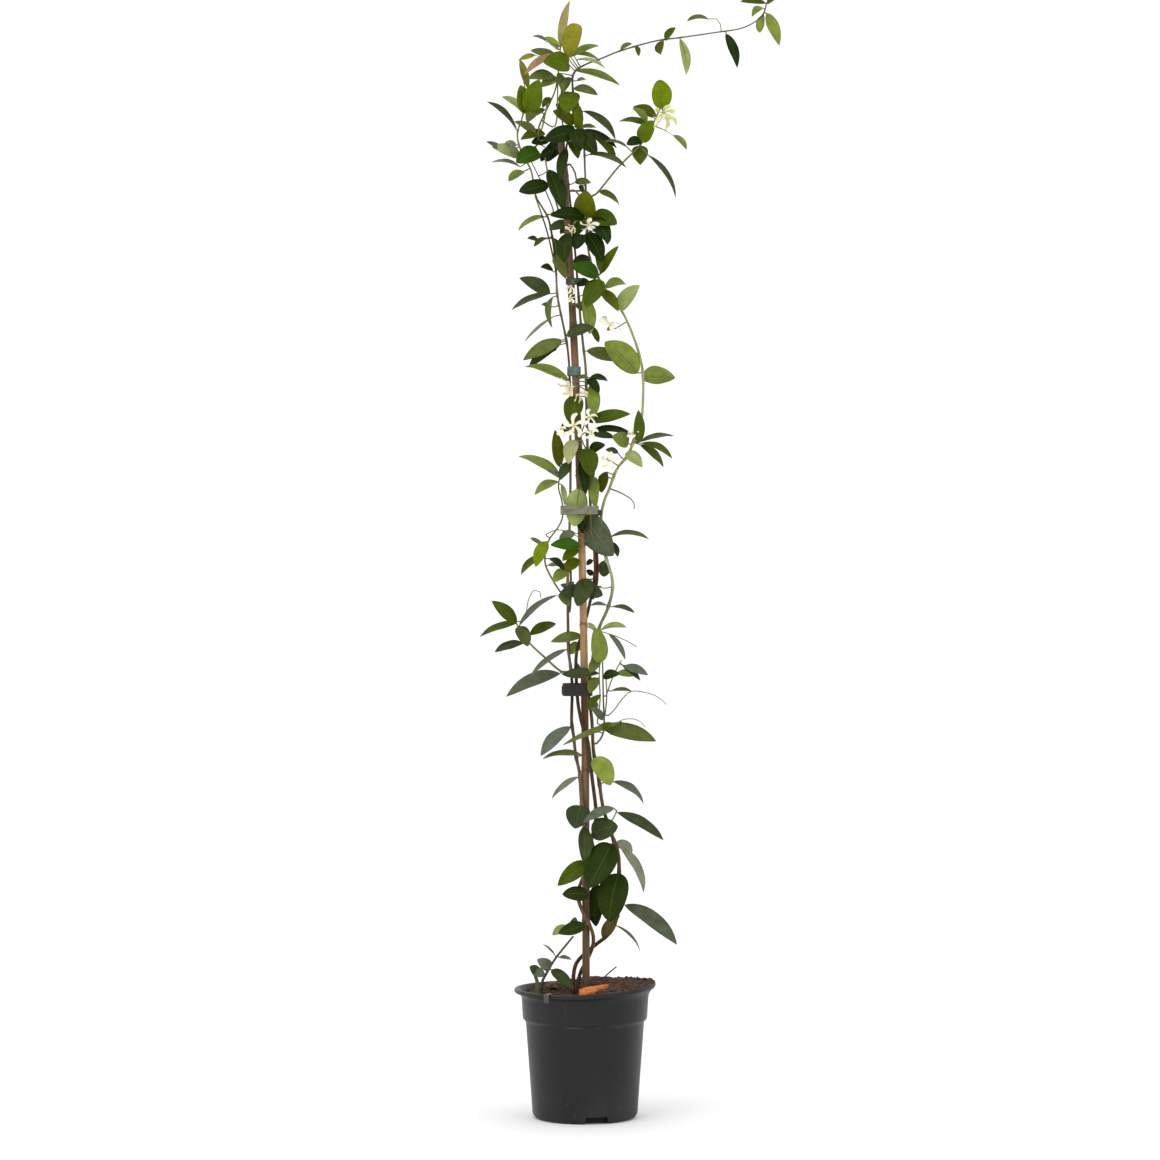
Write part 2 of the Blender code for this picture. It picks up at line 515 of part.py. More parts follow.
# Shoots that rise from the soil by themselves: thickness, points, leaves
BASAL_STEMS = {
    "basal_shoot": (1.5, 0.9, [(-52, 6, 112), (-52, 6, 156), (-47, 5, 170), (-35, 4, 190), (-14, 4, 216)], [
        (-40, 2, 176, -17, -22, 158, 14, 25), (-46, 0, 176, -54, -14, 190, 16, 20),
        (-31, 0, 192, -17, -8, 191, 8, 40), (-38, 6, 192, -50, 10, 205, 8, 40)]),
    "basal_sprout": (2.2, 1.2, [(-57, -12, 112), (-57, -12, 156), (-58, -13, 166), (-61, -13, 174)], [
        (-60, -14, 172, -48, -24, 184, 14, 20), (-61, -12, 173, -70, -20, 184, 12, 30)]),
    "basal_sprig": (0.9, 0.6, [(20, 16, 112), (20, 16, 156), (24, 16, 166), (38, 16, 178)], [])}

# Plastic ties: middle x y, half width, half depth, lower and upper edge
TIES = {
    "tie_low": (-9.0, 0.0, 18.0, 14.0, 505.0, 520.0),
    "tie_middle": (-6.5, 0.0, 23.0, 17.0, 722.5, 733.0),
    "tie_high": (-13.2, 0.0, 8.2, 6.8, 889.0, 900.0),
    "tie_top": (-13.2, 0.6, 10.0, 8.8, 999.0, 1006.0)}
TIE_THICKNESS = 0.9
TIE_CORNER_STEPS = 2


# The pot

def pot_outside():
    """Outer half outline, from the base's centre to the lip, as radius and height."""
    return [
        (0.0, 0.0), (BASE_RADIUS - 5.5, 0.0), (BASE_RADIUS - 1.6, 1.6), (BASE_RADIUS + 0.6, 6.0),
        (BODY_TOP_RADIUS, BODY_TOP_HEIGHT), (BODY_TOP_RADIUS + 0.8, BODY_TOP_HEIGHT + 3.0),
        (COLLAR_RADIUS - 1.7, BODY_TOP_HEIGHT + 6.5), (COLLAR_RADIUS, COLLAR_HEIGHT),
        (COLLAR_RADIUS + 1.6, COLLAR_HEIGHT + 3.0), (LIP_RADIUS - 1.2, LIP_HEIGHT - 7.6),
        (LIP_RADIUS, LIP_HEIGHT - 5.6), (LIP_RADIUS, LIP_HEIGHT - 1.8), (LIP_RADIUS - 1.6, LIP_HEIGHT)]


def pot_inside():
    """Inner half outline, from the lip down to the middle of the base plate."""
    return [
        (LIP_RADIUS - 4.4, LIP_HEIGHT), (LIP_RADIUS - 6.4, LIP_HEIGHT - 2.0),
        (COLLAR_RADIUS - WALL + 1.2, COLLAR_HEIGHT + 4.0), (COLLAR_RADIUS - WALL, COLLAR_HEIGHT),
        (COLLAR_RADIUS - 1.7 - WALL, BODY_TOP_HEIGHT + 7.5),
        (BODY_TOP_RADIUS - WALL, BODY_TOP_HEIGHT + 2.0),
        (BASE_RADIUS + 0.6 - WALL, 7.0), (BASE_RADIUS - 3.5, PLATE), (0.0, PLATE)]


def lift_rim(x, height):
    """How far the soft rim stands up or down at x."""
    share = min(1.0, max(0.0, (height - COLLAR_HEIGHT) / 12.0))
    return LIP_TILT * share * x / LIP_RADIUS


def spin_outline(name, outline, sides):
    """Closed solid from a half outline turned about the upright axis."""
    work = bmesh.new()
    corners = [work.verts.new(Vector((radius, 0.0, height)) * MM) for radius, height in outline]
    edges = [work.edges.new(pair) for pair in zip(corners, corners[1:])]
    bmesh.ops.spin(work, geom=corners + edges, cent=(0, 0, 0), axis=(0, 0, 1), angle=math.tau,
                   steps=sides, use_merge=True)
    bmesh.ops.remove_doubles(work, verts=work.verts, dist=1e-6)
    bmesh.ops.recalc_face_normals(work, faces=work.faces)
    mesh = bpy.data.meshes.new(name)
    work.to_mesh(mesh)
    work.free()
    return mesh


def notch_cutter(number, bearing):
    """Box that cuts a drainage notch through the lower edge."""
    work = bmesh.new()
    bmesh.ops.create_cube(work, size=1.0)
    mesh = bpy.data.meshes.new("notch_cutter_%d" % number)
    work.to_mesh(mesh)
    work.free()
    for vertex in mesh.vertices:
        vertex.co.x *= NOTCH_DEPTH * 2 * MM
        vertex.co.y *= NOTCH_WIDTH * MM
        vertex.co.z *= NOTCH_HEIGHT * 2 * MM
    cutter = add_object(mesh.name, mesh)
    angle = math.radians(bearing)
    cutter.location = (BASE_RADIUS * MM * math.cos(angle), BASE_RADIUS * MM * math.sin(angle), 0.0)
    cutter.rotation_euler = (0.0, 0.0, angle)
    hide_cutter(cutter)
    return cutter


def make_pot(material):
    mesh = spin_outline("pot", pot_outside() + pot_inside(), POT_SIDES)
    for vertex in mesh.vertices:
        vertex.co.z += lift_rim(vertex.co.x / MM, vertex.co.z / MM) * MM
    pot = add_object("pot", mesh, material)
    for number, bearing in enumerate(NOTCH_BEARINGS):
        cut = pot.modifiers.new("notch", "BOOLEAN")
        cut.operation = "DIFFERENCE"
        cut.object = notch_cutter(number, bearing)
    return pot


# The soil

def soil_height(x, y):
    """Top of the soil: low at the front left, heaped to the rim at the right and back."""
    share = min(1.0, max(0.0, (0.6 * x + 0.5 * y + 45.0) / 110.0))
    heap = SOIL_HEAP * share * share * (3.0 - 2.0 * share)
    mound = 5.0 * math.exp(-((x - 30.0) ** 2 + (y - 40.0) ** 2) / 900.0)
    crumbs = 0.9 * math.sin(x * 0.21 + 1.0) * math.cos(y * 0.24) + 0.5 * math.sin(x * 0.47 + y * 0.4)
    return SOIL_LEVEL + heap + mound + crumbs


def soil_outline():
    """Wall of the soil, from its middle below to its top edge, clear of the pot."""
    wall = [(radius - 0.5, height) for radius, height in reversed(pot_inside()[2:-1])]
    wall[0] = (wall[0][0] - 1.0, PLATE + CLEAR)
    return [(0.0, PLATE + CLEAR)] + wall[:-2]


def stem_seats():
    """Holes in the soil: x, y, radius and floor for the cane and every stem."""
    seats = [(CANE_X, 0.0, CANE_RADIUS + 0.6, PLATE + CLEAR + 1.5)]
    for rows, radius in ((RIGHT_STEM, 2.2), (LEFT_STEM, 2.1), (MIDDLE_STEM, 2.7)):
        foot = around_cane(rows[0])
        seats.append((foot.x, foot.y, radius + 0.6, HOLE_FLOOR))
    for radius, _, points, _ in BASAL_STEMS.values():
        seats.append((points[0][0], points[0][1], radius + 0.6, HOLE_FLOOR))
    return seats


def hole_cutter(number, seat):
    x, y, radius, floor = seat
    work = bmesh.new()
    height = 200.0 - floor
    bmesh.ops.create_cone(work, cap_ends=True, segments=10, radius1=radius * MM, radius2=radius * MM,
                          depth=height * MM)
    mesh = bpy.data.meshes.new("hole_cutter_%d" % number)
    work.to_mesh(mesh)
    work.free()
    cutter = add_object(mesh.name, mesh)
    cutter.location = Vector((x, y, floor + height / 2)) * MM
    hide_cutter(cutter)
    return cutter


def make_soil(material):
    outline = soil_outline()
    edge_radius = outline[-1][0]
    ring_radii = [edge_radius * (1 - ring / SOIL_RINGS) for ring in range(SOIL_RINGS)]
    top = [(radius, COLLAR_HEIGHT + 2.0) for radius in ring_radii[1:]] + [(0.0, COLLAR_HEIGHT + 2.0)]
    edge = (edge_radius, COLLAR_HEIGHT + 2.0)
    mesh = spin_outline("potting_soil", outline[:-1] + [(edge_radius, COLLAR_HEIGHT - 4.0), edge] + top,
                        POT_SIDES)
    for vertex in mesh.vertices:
        if vertex.co.z > (COLLAR_HEIGHT + 1.0) * MM:
            vertex.co.z = soil_height(vertex.co.x / MM, vertex.co.y / MM) * MM
    soil = add_object("potting_soil", mesh, material)
    for number, seat in enumerate(stem_seats()):
        cut = soil.modifiers.new("hole", "BOOLEAN")
        cut.operation = "DIFFERENCE"
        cut.object = hole_cutter(number, seat)
    return soil


# Bark chips and the label

def drop_onto(mesh, soil):
    """Lower a mesh until it lies just clear of the soil."""
    ground = BVHTree.FromObject(soil, bpy.context.evaluated_depsgraph_get())
    body = BVHTree.FromPolygons([v.co for v in mesh.vertices], [face.vertices for face in mesh.polygons])
    down = Vector((0.0, 0.0, -1.0))
    drops = [ground.ray_cast(vertex.co, down)[3] for vertex in mesh.vertices]
    drops += [body.ray_cast(vertex.co, -down)[3] for vertex in evaluated_mesh(soil).vertices]
    drop = min(value for value in drops if value is not None) - CLEAR * MM
    for vertex in mesh.vertices:
        vertex.co.z -= drop


def make_chip(name, material, soil, centre, size, turn, seed):
    """Rough bark chip laid on the soil."""
    draw = random.Random(seed)
    work = bmesh.new()
    bmesh.ops.create_cube(work, size=1.0)
    bmesh.ops.subdivide_edges(work, edges=work.edges, cuts=1, use_grid_fill=True)
    angle = math.radians(turn)
    for vertex in work.verts:
        place = vertex.co
        taper = 1.0 - 0.5 * abs(place.x)
        x = place.x * size[0] + draw.uniform(-0.8, 0.8)
        y = place.y * size[1] * taper + draw.uniform(-0.6, 0.6)
        z = place.z * size[2] * taper + draw.uniform(-0.4, 0.4)
        vertex.co = Vector((x * math.cos(angle) - y * math.sin(angle) + centre[0],
                            x * math.sin(angle) + y * math.cos(angle) + centre[1], z))
    slope = (soil_height(centre[0] + 8, centre[1]) - soil_height(centre[0] - 8, centre[1])) / 16
    for vertex in work.verts:
        vertex.co.z += slope * (vertex.co.x - centre[0])
    for vertex in work.verts:
        vertex.co.z += SOIL_LEVEL + CHIP_DROP
        vertex.co *= MM
    bmesh.ops.recalc_face_normals(work, faces=work.faces)
    mesh = bpy.data.meshes.new(name)
    work.to_mesh(mesh)
    work.free()
    drop_onto(mesh, soil)
    return add_object(name, mesh, material)


def make_label(material):
    """Blank plastic label hooked over the front of the rim."""
    angle = math.radians(LABEL_BEARING)
    lift = lift_rim(LIP_RADIUS * math.cos(angle), LIP_HEIGHT)
    top = LIP_HEIGHT + lift + 0.7
    inner = LIP_RADIUS - 11.5
    outer = LIP_RADIUS + 0.9
    path = [(inner, SOIL_LEVEL + 2.2), (inner, top - 3.0), (inner + 2.4, top), (outer - 1.6, top),
            (outer, top - 1.8), (outer, top - 18.0)]
    points = []
    for index, (radius, height) in enumerate(path):
        before = Vector(path[max(index - 1, 0)])
        after = Vector(path[min(index + 1, len(path) - 1)])
        along = (after - before).normalized()
        normal = Vector((-along.y, along.x)) * LABEL_THICKNESS
        for side in (-1, 1):
            for layer in (0.0, 1.0):
                reach = radius + normal.x * layer
                across = side * LABEL_WIDTH / 2
                points.append((reach * math.cos(angle) - across * math.sin(angle),
                               reach * math.sin(angle) + across * math.cos(angle),
                               height + normal.y * layer))
    faces = [(0, 1, 3, 2)]
    for index in range(len(path) - 1):
        near = index * 4
        far = near + 4
        for first, second in ((0, 1), (1, 3), (3, 2), (2, 0)):
            faces.append((near + first, near + second, far + second, far + first))
    end = len(points) - 4
    faces.append((end, end + 2, end + 3, end + 1))
    mesh = mesh_from("plant_label", points, faces)
    weld(mesh)
    return add_object("plant_label", mesh, material)


# The cane and the ties

def make_cane(material):
    """Bowed bamboo cane with a slight swelling at each joint."""
    heights = [CANE_FOOT, 80.0]
    step = 60.0
    height = BOW_START
    while height < CANE_TOP - step / 2:
        heights.append(height)
        height += step
    for joint in CANE_JOINTS:
        heights = [value for value in heights if abs(value - joint) > 24.0]
        heights += [joint - 3.0, joint, joint + 3.0]
    heights = sorted(heights) + [CANE_TOP]
    curve = bpy.data.curves.new("bamboo_cane", "CURVE")
    curve.dimensions = "3D"
    curve.bevel_depth = MM
    curve.bevel_resolution = 2
    curve.use_fill_caps = True
    spline = curve.splines.new("POLY")
    spline.points.add(len(heights) - 1)
    for point, height in zip(spline.points, heights):
        point.co = (cane_x(height) * MM, 0.0, height * MM, 1.0)
        point.radius = CANE_RADIUS + (0.45 if height in CANE_JOINTS else 0.0)
    cane = bpy.data.objects.new("bamboo_cane", curve)
    bpy.context.scene.collection.objects.link(cane)
    curve.materials.append(material)
    return cane


def rounded_box(half_width, half_depth, corner):
    """Loop of a rounded rectangle."""
    loop = []
    for quarter in range(4):
        centre_x = (half_width - corner) * (1 if quarter in (0, 3) else -1)
        centre_y = (half_depth - corner) * (1 if quarter in (0, 1) else -1)
        for part in range(TIE_CORNER_STEPS + 1):
            angle = math.pi / 2 * (quarter + part / TIE_CORNER_STEPS)
            loop.append((centre_x + corner * math.cos(angle), centre_y + corner * math.sin(angle)))
    return loop


def make_tie(name, row, material):
    """Band of plastic round the cane and stems."""
    x, y, half_width, half_depth, low, high = row
    corner = min(half_width, half_depth) * 0.62
    outer = rounded_box(half_width, half_depth, corner)
    inner = rounded_box(half_width - TIE_THICKNESS, half_depth - TIE_THICKNESS, corner - TIE_THICKNESS)
    count = len(outer)
    points = []
    for height in (low, high):
        for loop in (outer, inner):
            points += [(x + px, y + py, height) for px, py in loop]
    faces = []
    for index in range(count):
        after = (index + 1) % count
        faces.append((index, after, 2 * count + after, 2 * count + index))
        faces.append((count + after, count + index, 3 * count + index, 3 * count + after))
        faces.append((after, index, count + index, count + after))
        faces.append((2 * count + index, 2 * count + after, 3 * count + after, 3 * count + index))
    mesh = mesh_from(name, points, faces)
    weld(mesh)
    return add_object(name, mesh, material)


# The leafy stems

def flower_foot(centre, facing):
    """Where the stalk of a flower ends, just short of its tube."""
    return Vector(centre) - Vector(facing).normalized() * (TUBE_LENGTH + CLEAR)


def stalk_points(routes, end, facing):
    """Short bent stalk from the nearest stem to a flower or bud."""
    root = nearest_point(routes, end)
    ahead = Vector(facing).normalized()
    return [root, root.lerp(end, 0.5) - ahead * (0.2 * (end - root).length), end - ahead * 2.5, end]


def make_leafy_stem(name, rows, thickness, shoots, leaves, material):
    """One climbing stem with its side shoots, flower stalks and leaves, fused."""
    main = smooth_route(rows, around_cane)
    routes = [main]
    pieces = [make_tube(name + "_stem", main, *thickness)]
    for number, (start, end, points) in enumerate(shoots):
        first = Vector(points[0])
        route = smooth_route([nearest_point(routes, first)] + [Vector(point) for point in points])
        routes.append(route)
        pieces.append(make_tube("%s_shoot_%d" % (name, number), route, start, end, 0))
    side = name.replace("leafy_stem_", "")
    for number, (stem, centre, facing, _) in enumerate(FLOWERS):
        if stem == side:
            route = stalk_points(routes, flower_foot(centre, facing), facing)
            pieces.append(make_tube("%s_stalk_%d" % (name, number), route, 0.8, 1.0, 0))
    for number, (stem, root, tip) in enumerate(BUDS):
        if stem == side:
            facing = (Vector(tip) - Vector(root)).normalized()
            route = stalk_points(routes, Vector(root) - facing * CLEAR, facing)
            pieces.append(make_tube("%s_bud_stalk_%d" % (name, number), route, 0.7, 0.8, 0))
    for number, row in enumerate(leaves):
        pieces.append(make_leaf("%s_leaf_%d" % (name, number), routes, row))
    return fuse(name, pieces, material)


def make_basal_stem(name, material):
    start, end, points, leaves = BASAL_STEMS[name]
    route = smooth_route(points)
    pieces = [make_tube(name + "_stem", route, start, end)]
    for number, row in enumerate(leaves):
        pieces.append(make_leaf("%s_leaf_%d" % (name, number), [route], row))
    if len(pieces) == 1:
        pieces[0].name = name
        pieces[0].data.materials.append(material)
        return pieces[0]
    return fuse(name, pieces, material)


# Flowers and buds

def make_flower(name, centre, facing, reach, material):
    """Corolla of five petals twisted like a pinwheel, which narrows behind to a tube."""
    centre = Vector(centre)
    facing = Vector(facing).normalized()
    side = facing.cross(Vector((0, 0, 1))).normalized()
    top = side.cross(facing)
    front = []
    foot = []
    for petal in range(PETALS):
        for share, turn, tilt in PETAL_OUTLINE:
            angle = math.tau * petal / PETALS + math.radians(turn)
            out = side * math.cos(angle) + top * math.sin(angle)
            front.append(centre + out * (reach * share) + facing * (reach * tilt))
            if share == PETAL_OUTLINE[0][0]:
                foot.append(centre + out * TUBE_RADIUS - facing * TUBE_LENGTH)
    count = len(front)
    corners = len(PETAL_OUTLINE)
    points = front + [point - facing * PETAL_THICKNESS for point in front] + foot
    points.append(centre - facing * (reach * THROAT_DEPTH))
    faces = [tuple(range(2 * count, 2 * count + PETALS))]
    for petal in range(PETALS):
        gap = petal * corners
        after = (gap + corners) % count
        for index in range(gap + 1, gap + corners):
            end = (index + 1) % count
            faces += [(gap, index, end), (count + gap, count + end, count + index)]
        for index in range(gap, gap + corners):
            end = (index + 1) % count
            faces += [(index, count + index, count + end), (index, count + end, end)]
        below = 2 * count + petal
        beside = 2 * count + (petal + 1) % PETALS
        faces += [(2 * count + PETALS, gap, after)]
        faces += [(count + gap, below, beside), (count + gap, beside, count + after)]
    mesh = mesh_from(name, points, faces)
    weld(mesh)
    return add_object(name, mesh, material)


def make_bud(name, root, tip, material):
    root = Vector(root)
    tip = Vector(tip)
    points = [root, root.lerp(tip, 0.3), root.lerp(tip, 0.65), tip]
    bud = make_tube(name, points, 1.0, 0.9)
    axis = (tip - root).normalized()
    for vertex in bud.data.vertices:
        place = vertex.co / MM
        share = (place - root).dot(axis) / (tip - root).length
        line = root + axis * (place - root).dot(axis)
        swelling = 0.7 + 2.0 * math.sin(math.pi * min(1.0, max(0.0, share)))
        vertex.co = (line + (place - line) * swelling) * MM
    bud.data.materials.append(material)
    return bud


def build():
    for item in list(bpy.data.objects):
        bpy.data.objects.remove(item)
    black_plastic = make_material("black_plastic", (0.03, 0.029, 0.029), 0.5)
    soil = make_material("potting_soil", (0.05, 0.028, 0.016), 0.95)
    bamboo = make_material("bamboo", (0.42, 0.25, 0.14), 0.6)
    foliage = make_material("jasmine_foliage", (0.04, 0.09, 0.015), 0.4)
    young = make_material("young_shoot", (0.2, 0.3, 0.08), 0.5)
    petal = make_material("cream_petal", (0.82, 0.8, 0.66), 0.6)
    grey_plastic = make_material("grey_plastic", (0.09, 0.11, 0.1), 0.5)
    orange_bark = make_material("orange_bark", (0.5, 0.17, 0.04), 0.85)
    grey_bark = make_material("grey_bark", (0.3, 0.22, 0.14), 0.85)
    label_plastic = make_material("label_plastic", (0.18, 0.19, 0.19), 0.4)

    make_pot(black_plastic)
    ground = make_soil(soil)
    make_cane(bamboo)
    for name, row in TIES.items():
        make_tie(name, row, grey_plastic)
    make_chip("bark_chip_orange", orange_bark, ground, (11.0, -30.0), (34.0, 12.0, 6.0), 8.0, 3)
    make_chip("bark_chip_grey", grey_bark, ground, (-37.0, 34.0), (15.0, 10.0, 8.0), 25.0, 5)
    make_label(label_plastic)
    make_leafy_stem("leafy_stem_right", RIGHT_STEM, (2.2, 0.9), RIGHT_SHOOTS, RIGHT_LEAVES, foliage)
    make_leafy_stem("leafy_stem_left", LEFT_STEM, (2.1, 0.8), LEFT_SHOOTS, LEFT_LEAVES, foliage)
    make_leafy_stem("leafy_stem_middle", MIDDLE_STEM, (2.6, 0.7), MIDDLE_SHOOTS, MIDDLE_LEAVES, foliage)
    for name in BASAL_STEMS:
        make_basal_stem(name, young)
    for number, (_, centre, facing, reach) in enumerate(FLOWERS):
        make_flower("flower_%d" % (number + 1), centre, facing, reach, petal)
    for number, (_, root, tip) in enumerate(BUDS):
        make_bud("bud_%d" % (number + 1), root, tip, petal)


build()
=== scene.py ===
import math
import random

import bpy
import numpy as np
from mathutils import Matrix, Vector


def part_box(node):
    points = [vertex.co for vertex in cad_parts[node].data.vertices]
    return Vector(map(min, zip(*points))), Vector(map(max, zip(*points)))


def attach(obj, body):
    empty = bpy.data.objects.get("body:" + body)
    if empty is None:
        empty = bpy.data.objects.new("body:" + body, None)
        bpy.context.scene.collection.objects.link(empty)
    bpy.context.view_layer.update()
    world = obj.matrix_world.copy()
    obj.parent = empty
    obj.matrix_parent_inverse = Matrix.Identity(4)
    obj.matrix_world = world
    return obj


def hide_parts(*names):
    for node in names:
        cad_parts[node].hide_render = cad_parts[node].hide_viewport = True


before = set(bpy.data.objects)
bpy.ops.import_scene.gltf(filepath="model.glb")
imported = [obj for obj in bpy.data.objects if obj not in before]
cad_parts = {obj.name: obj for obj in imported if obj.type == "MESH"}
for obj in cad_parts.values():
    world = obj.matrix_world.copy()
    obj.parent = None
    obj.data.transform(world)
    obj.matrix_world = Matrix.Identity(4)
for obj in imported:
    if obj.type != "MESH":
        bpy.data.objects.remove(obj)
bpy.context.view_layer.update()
mm = 0.001
print("frame loaded:", len(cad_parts), "nodes")


# Small tools

def deselectAll():
    if bpy.context.object and bpy.context.object.mode != "OBJECT":
        bpy.ops.object.mode_set(mode="OBJECT")
    bpy.ops.object.select_all(action="DESELECT")


def makeActive(item):
    deselectAll()
    item.select_set(True)
    bpy.context.view_layer.objects.active = item


def applyModifier(item, kind, **settings):
    makeActive(item)
    modifier = item.modifiers.new(kind, kind)
    for name, value in settings.items():
        setattr(modifier, name, value)
    bpy.ops.object.modifier_apply(modifier=modifier.name)


def joinAll(items, name):
    deselectAll()
    for item in items:
        item.select_set(True)
    bpy.context.view_layer.objects.active = items[0]
    if len(items) > 1:
        bpy.ops.object.join()
    items[0].name = name
    items[0].data.name = name
    return items[0]


def settle(item):
    makeActive(item)
    bpy.ops.object.transform_apply(location=True, rotation=True, scale=True)


def smoothByAngle(item, degrees):
    makeActive(item)
    bpy.ops.object.shade_smooth_by_angle(angle=math.radians(degrees))


def closeAndTurnOut(item, near=0.000002):
    makeActive(item)
    bpy.ops.object.mode_set(mode="EDIT")
    bpy.ops.mesh.select_all(action="SELECT")
    bpy.ops.mesh.remove_doubles(threshold=near)
    bpy.ops.mesh.normals_make_consistent(inside=False)
    bpy.ops.object.mode_set(mode="OBJECT")


def openWithFaces(item, wanted):
    # edit mode with only the wanted faces selected
    makeActive(item)
    bpy.ops.object.mode_set(mode="EDIT")
    bpy.ops.mesh.select_mode(type="FACE")
    bpy.ops.mesh.select_all(action="DESELECT")
    bpy.ops.object.mode_set(mode="OBJECT")
    for face in item.data.polygons:
        face.select = wanted(face)
    bpy.ops.object.mode_set(mode="EDIT")


def dress(item, material, replaced=()):
    item.data.materials.clear()
    item.data.materials.append(material)
    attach(item, "root")
    if replaced:
        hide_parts(*replaced)


def pointsOf(item):
    flat = np.zeros(len(item.data.vertices) * 3)
    item.data.vertices.foreach_get("co", flat)
    return flat.reshape(-1, 3)


def setPoints(item, places):
    item.data.vertices.foreach_set("co", np.asarray(places, float).ravel())
    item.data.update()


def copyOf(master, places):
    item = master.copy()
    item.data = master.data.copy()
    bpy.context.scene.collection.objects.link(item)
    setPoints(item, places)
    return item


def turnAbout(angle):
    # rows of points times this are turned about the upright axis
    along, aside = math.cos(angle), math.sin(angle)
    return np.array([[along, aside, 0], [-aside, along, 0], [0, 0, 1]])


def addBlock(name, place, size):
    # a block at its place and size in mm
    deselectAll()
    bpy.ops.mesh.primitive_cube_add(size=1, location=[value * mm for value in place],
                                    scale=[value * mm for value in size])
    block = bpy.context.object
    block.name = name
    settle(block)
    return block


def addShare(item, name, values):
    share = item.data.attributes.get(name) or item.data.attributes.new(name, "FLOAT", "POINT")
    share.data.foreach_set("value", np.asarray(values, float))


def drawLines(name, strands, depth=0.0, roundness=0, extrude=0.0):
    # strands of (place in mm, radius in mm) as one curve, turned to a mesh
    curve = bpy.data.curves.new(name, "CURVE")
    curve.dimensions = "3D"
    curve.extrude = extrude
    curve.bevel_depth = depth
    curve.bevel_resolution = roundness
    curve.use_fill_caps = depth > 0
    for strand in strands:
        spline = curve.splines.new("POLY")
        spline.points.add(len(strand) - 1)
        for point, (place, radius) in zip(spline.points, strand):
            point.co = (*(Vector(place) * mm), 1)
            point.radius = radius
    item = bpy.data.objects.new(name, curve)
    bpy.context.scene.collection.objects.link(item)
    makeActive(item)
    bpy.ops.object.convert(target="MESH")
    return bpy.context.object


def makeTubes(name, strands, roundness):
    tubes = drawLines(name, strands, mm, roundness)
    closeAndTurnOut(tubes)
    smoothByAngle(tubes, 60)
    return tubes


def spinOutline(name, outline, sides):
    # a half outline of (radius, height) turned about the upright axis
    turned = drawLines(name, [[((radius, 0, height), 1) for radius, height in outline]])
    makeActive(turned)
    bpy.ops.object.mode_set(mode="EDIT")
    bpy.ops.mesh.select_all(action="SELECT")
    bpy.ops.mesh.spin(steps=sides, angle=math.tau, center=(0, 0, 0), axis=(0, 0, 1))
    bpy.ops.object.mode_set(mode="OBJECT")
    closeAndTurnOut(turned, 0.00001)
    return turned


# Materials

def colour(*channels):
    # screen values from 0 to 255, made linear for the shader
    shares = [value / 255 for value in channels]
    return (*(((share + 0.055) / 1.055) ** 2.4 if share > 10 / 255 else share / 12.92 for share in shares), 1)


def startMaterial(name, tint, roughness, specular=0.5):
    material = bpy.data.materials.new(name)
    material.use_nodes = True
    shader = material.node_tree.nodes["Principled BSDF"]
    shader.inputs["Base Color"].default_value = tint
    shader.inputs["Roughness"].default_value = roughness
    shader.inputs["Specular IOR Level"].default_value = specular
    material.diffuse_color = tint
    return material, material.node_tree, shader


def addNode(tree, kind, settings, inputs):
    # inputs by name or number; a socket is linked, a value is set
    node = tree.nodes.new(kind)
    for name, value in settings.items():
        setattr(node, name, value)
    for key, value in inputs.items():
        if isinstance(value, bpy.types.NodeSocket):
            tree.links.new(value, node.inputs[key])
        else:
            node.inputs[key].default_value = value
    return node


def mathNode(tree, operation, first, second=0.0):
    return addNode(tree, "ShaderNodeMath", {"operation": operation}, {0: first, 1: second}).outputs[0]


def rangeNode(tree, value, fromLow, fromHigh, toLow, toHigh):
    inputs = {0: value, 1: fromLow, 2: fromHigh, 3: toLow, 4: toHigh}
    return addNode(tree, "ShaderNodeMapRange", {}, inputs).outputs[0]


def mixColours(tree, factor, first, second, blend="MIX"):
    settings = {"data_type": "RGBA", "blend_type": blend}
    return addNode(tree, "ShaderNodeMix", settings, {0: factor, 6: first, 7: second}).outputs[2]


def multiplied(tree, first, second):
    return mixColours(tree, 1.0, first, second, "MULTIPLY")


def attributeNode(tree, name, output="Fac"):
    return addNode(tree, "ShaderNodeAttribute", {"attribute_name": name}, {}).outputs[output]


def objectHeight(tree):
    place = addNode(tree, "ShaderNodeTexCoord", {}, {}).outputs["Object"]
    return addNode(tree, "ShaderNodeSeparateXYZ", {}, {0: place}).outputs[2]


def noiseNode(tree, scale, detail=3.0, stretch=(1, 1, 1), roughness=0.55):
    place = addNode(tree, "ShaderNodeTexCoord", {}, {}).outputs["Object"]
    place = addNode(tree, "ShaderNodeMapping", {}, {"Vector": place, "Scale": stretch}).outputs[0]
    inputs = {"Vector": place, "Scale": scale, "Detail": detail, "Roughness": roughness}
    return addNode(tree, "ShaderNodeTexNoise", {}, inputs).outputs[0]


def finishMaterial(tree, shader, base, roughness, relief, strength, distance):
    tree.links.new(base, shader.inputs["Base Color"])
    tree.links.new(roughness, shader.inputs["Roughness"])
    bump = addNode(tree, "ShaderNodeBump", {}, {"Height": relief, "Strength": strength, "Distance": distance})
    tree.links.new(bump.outputs[0], shader.inputs["Normal"])


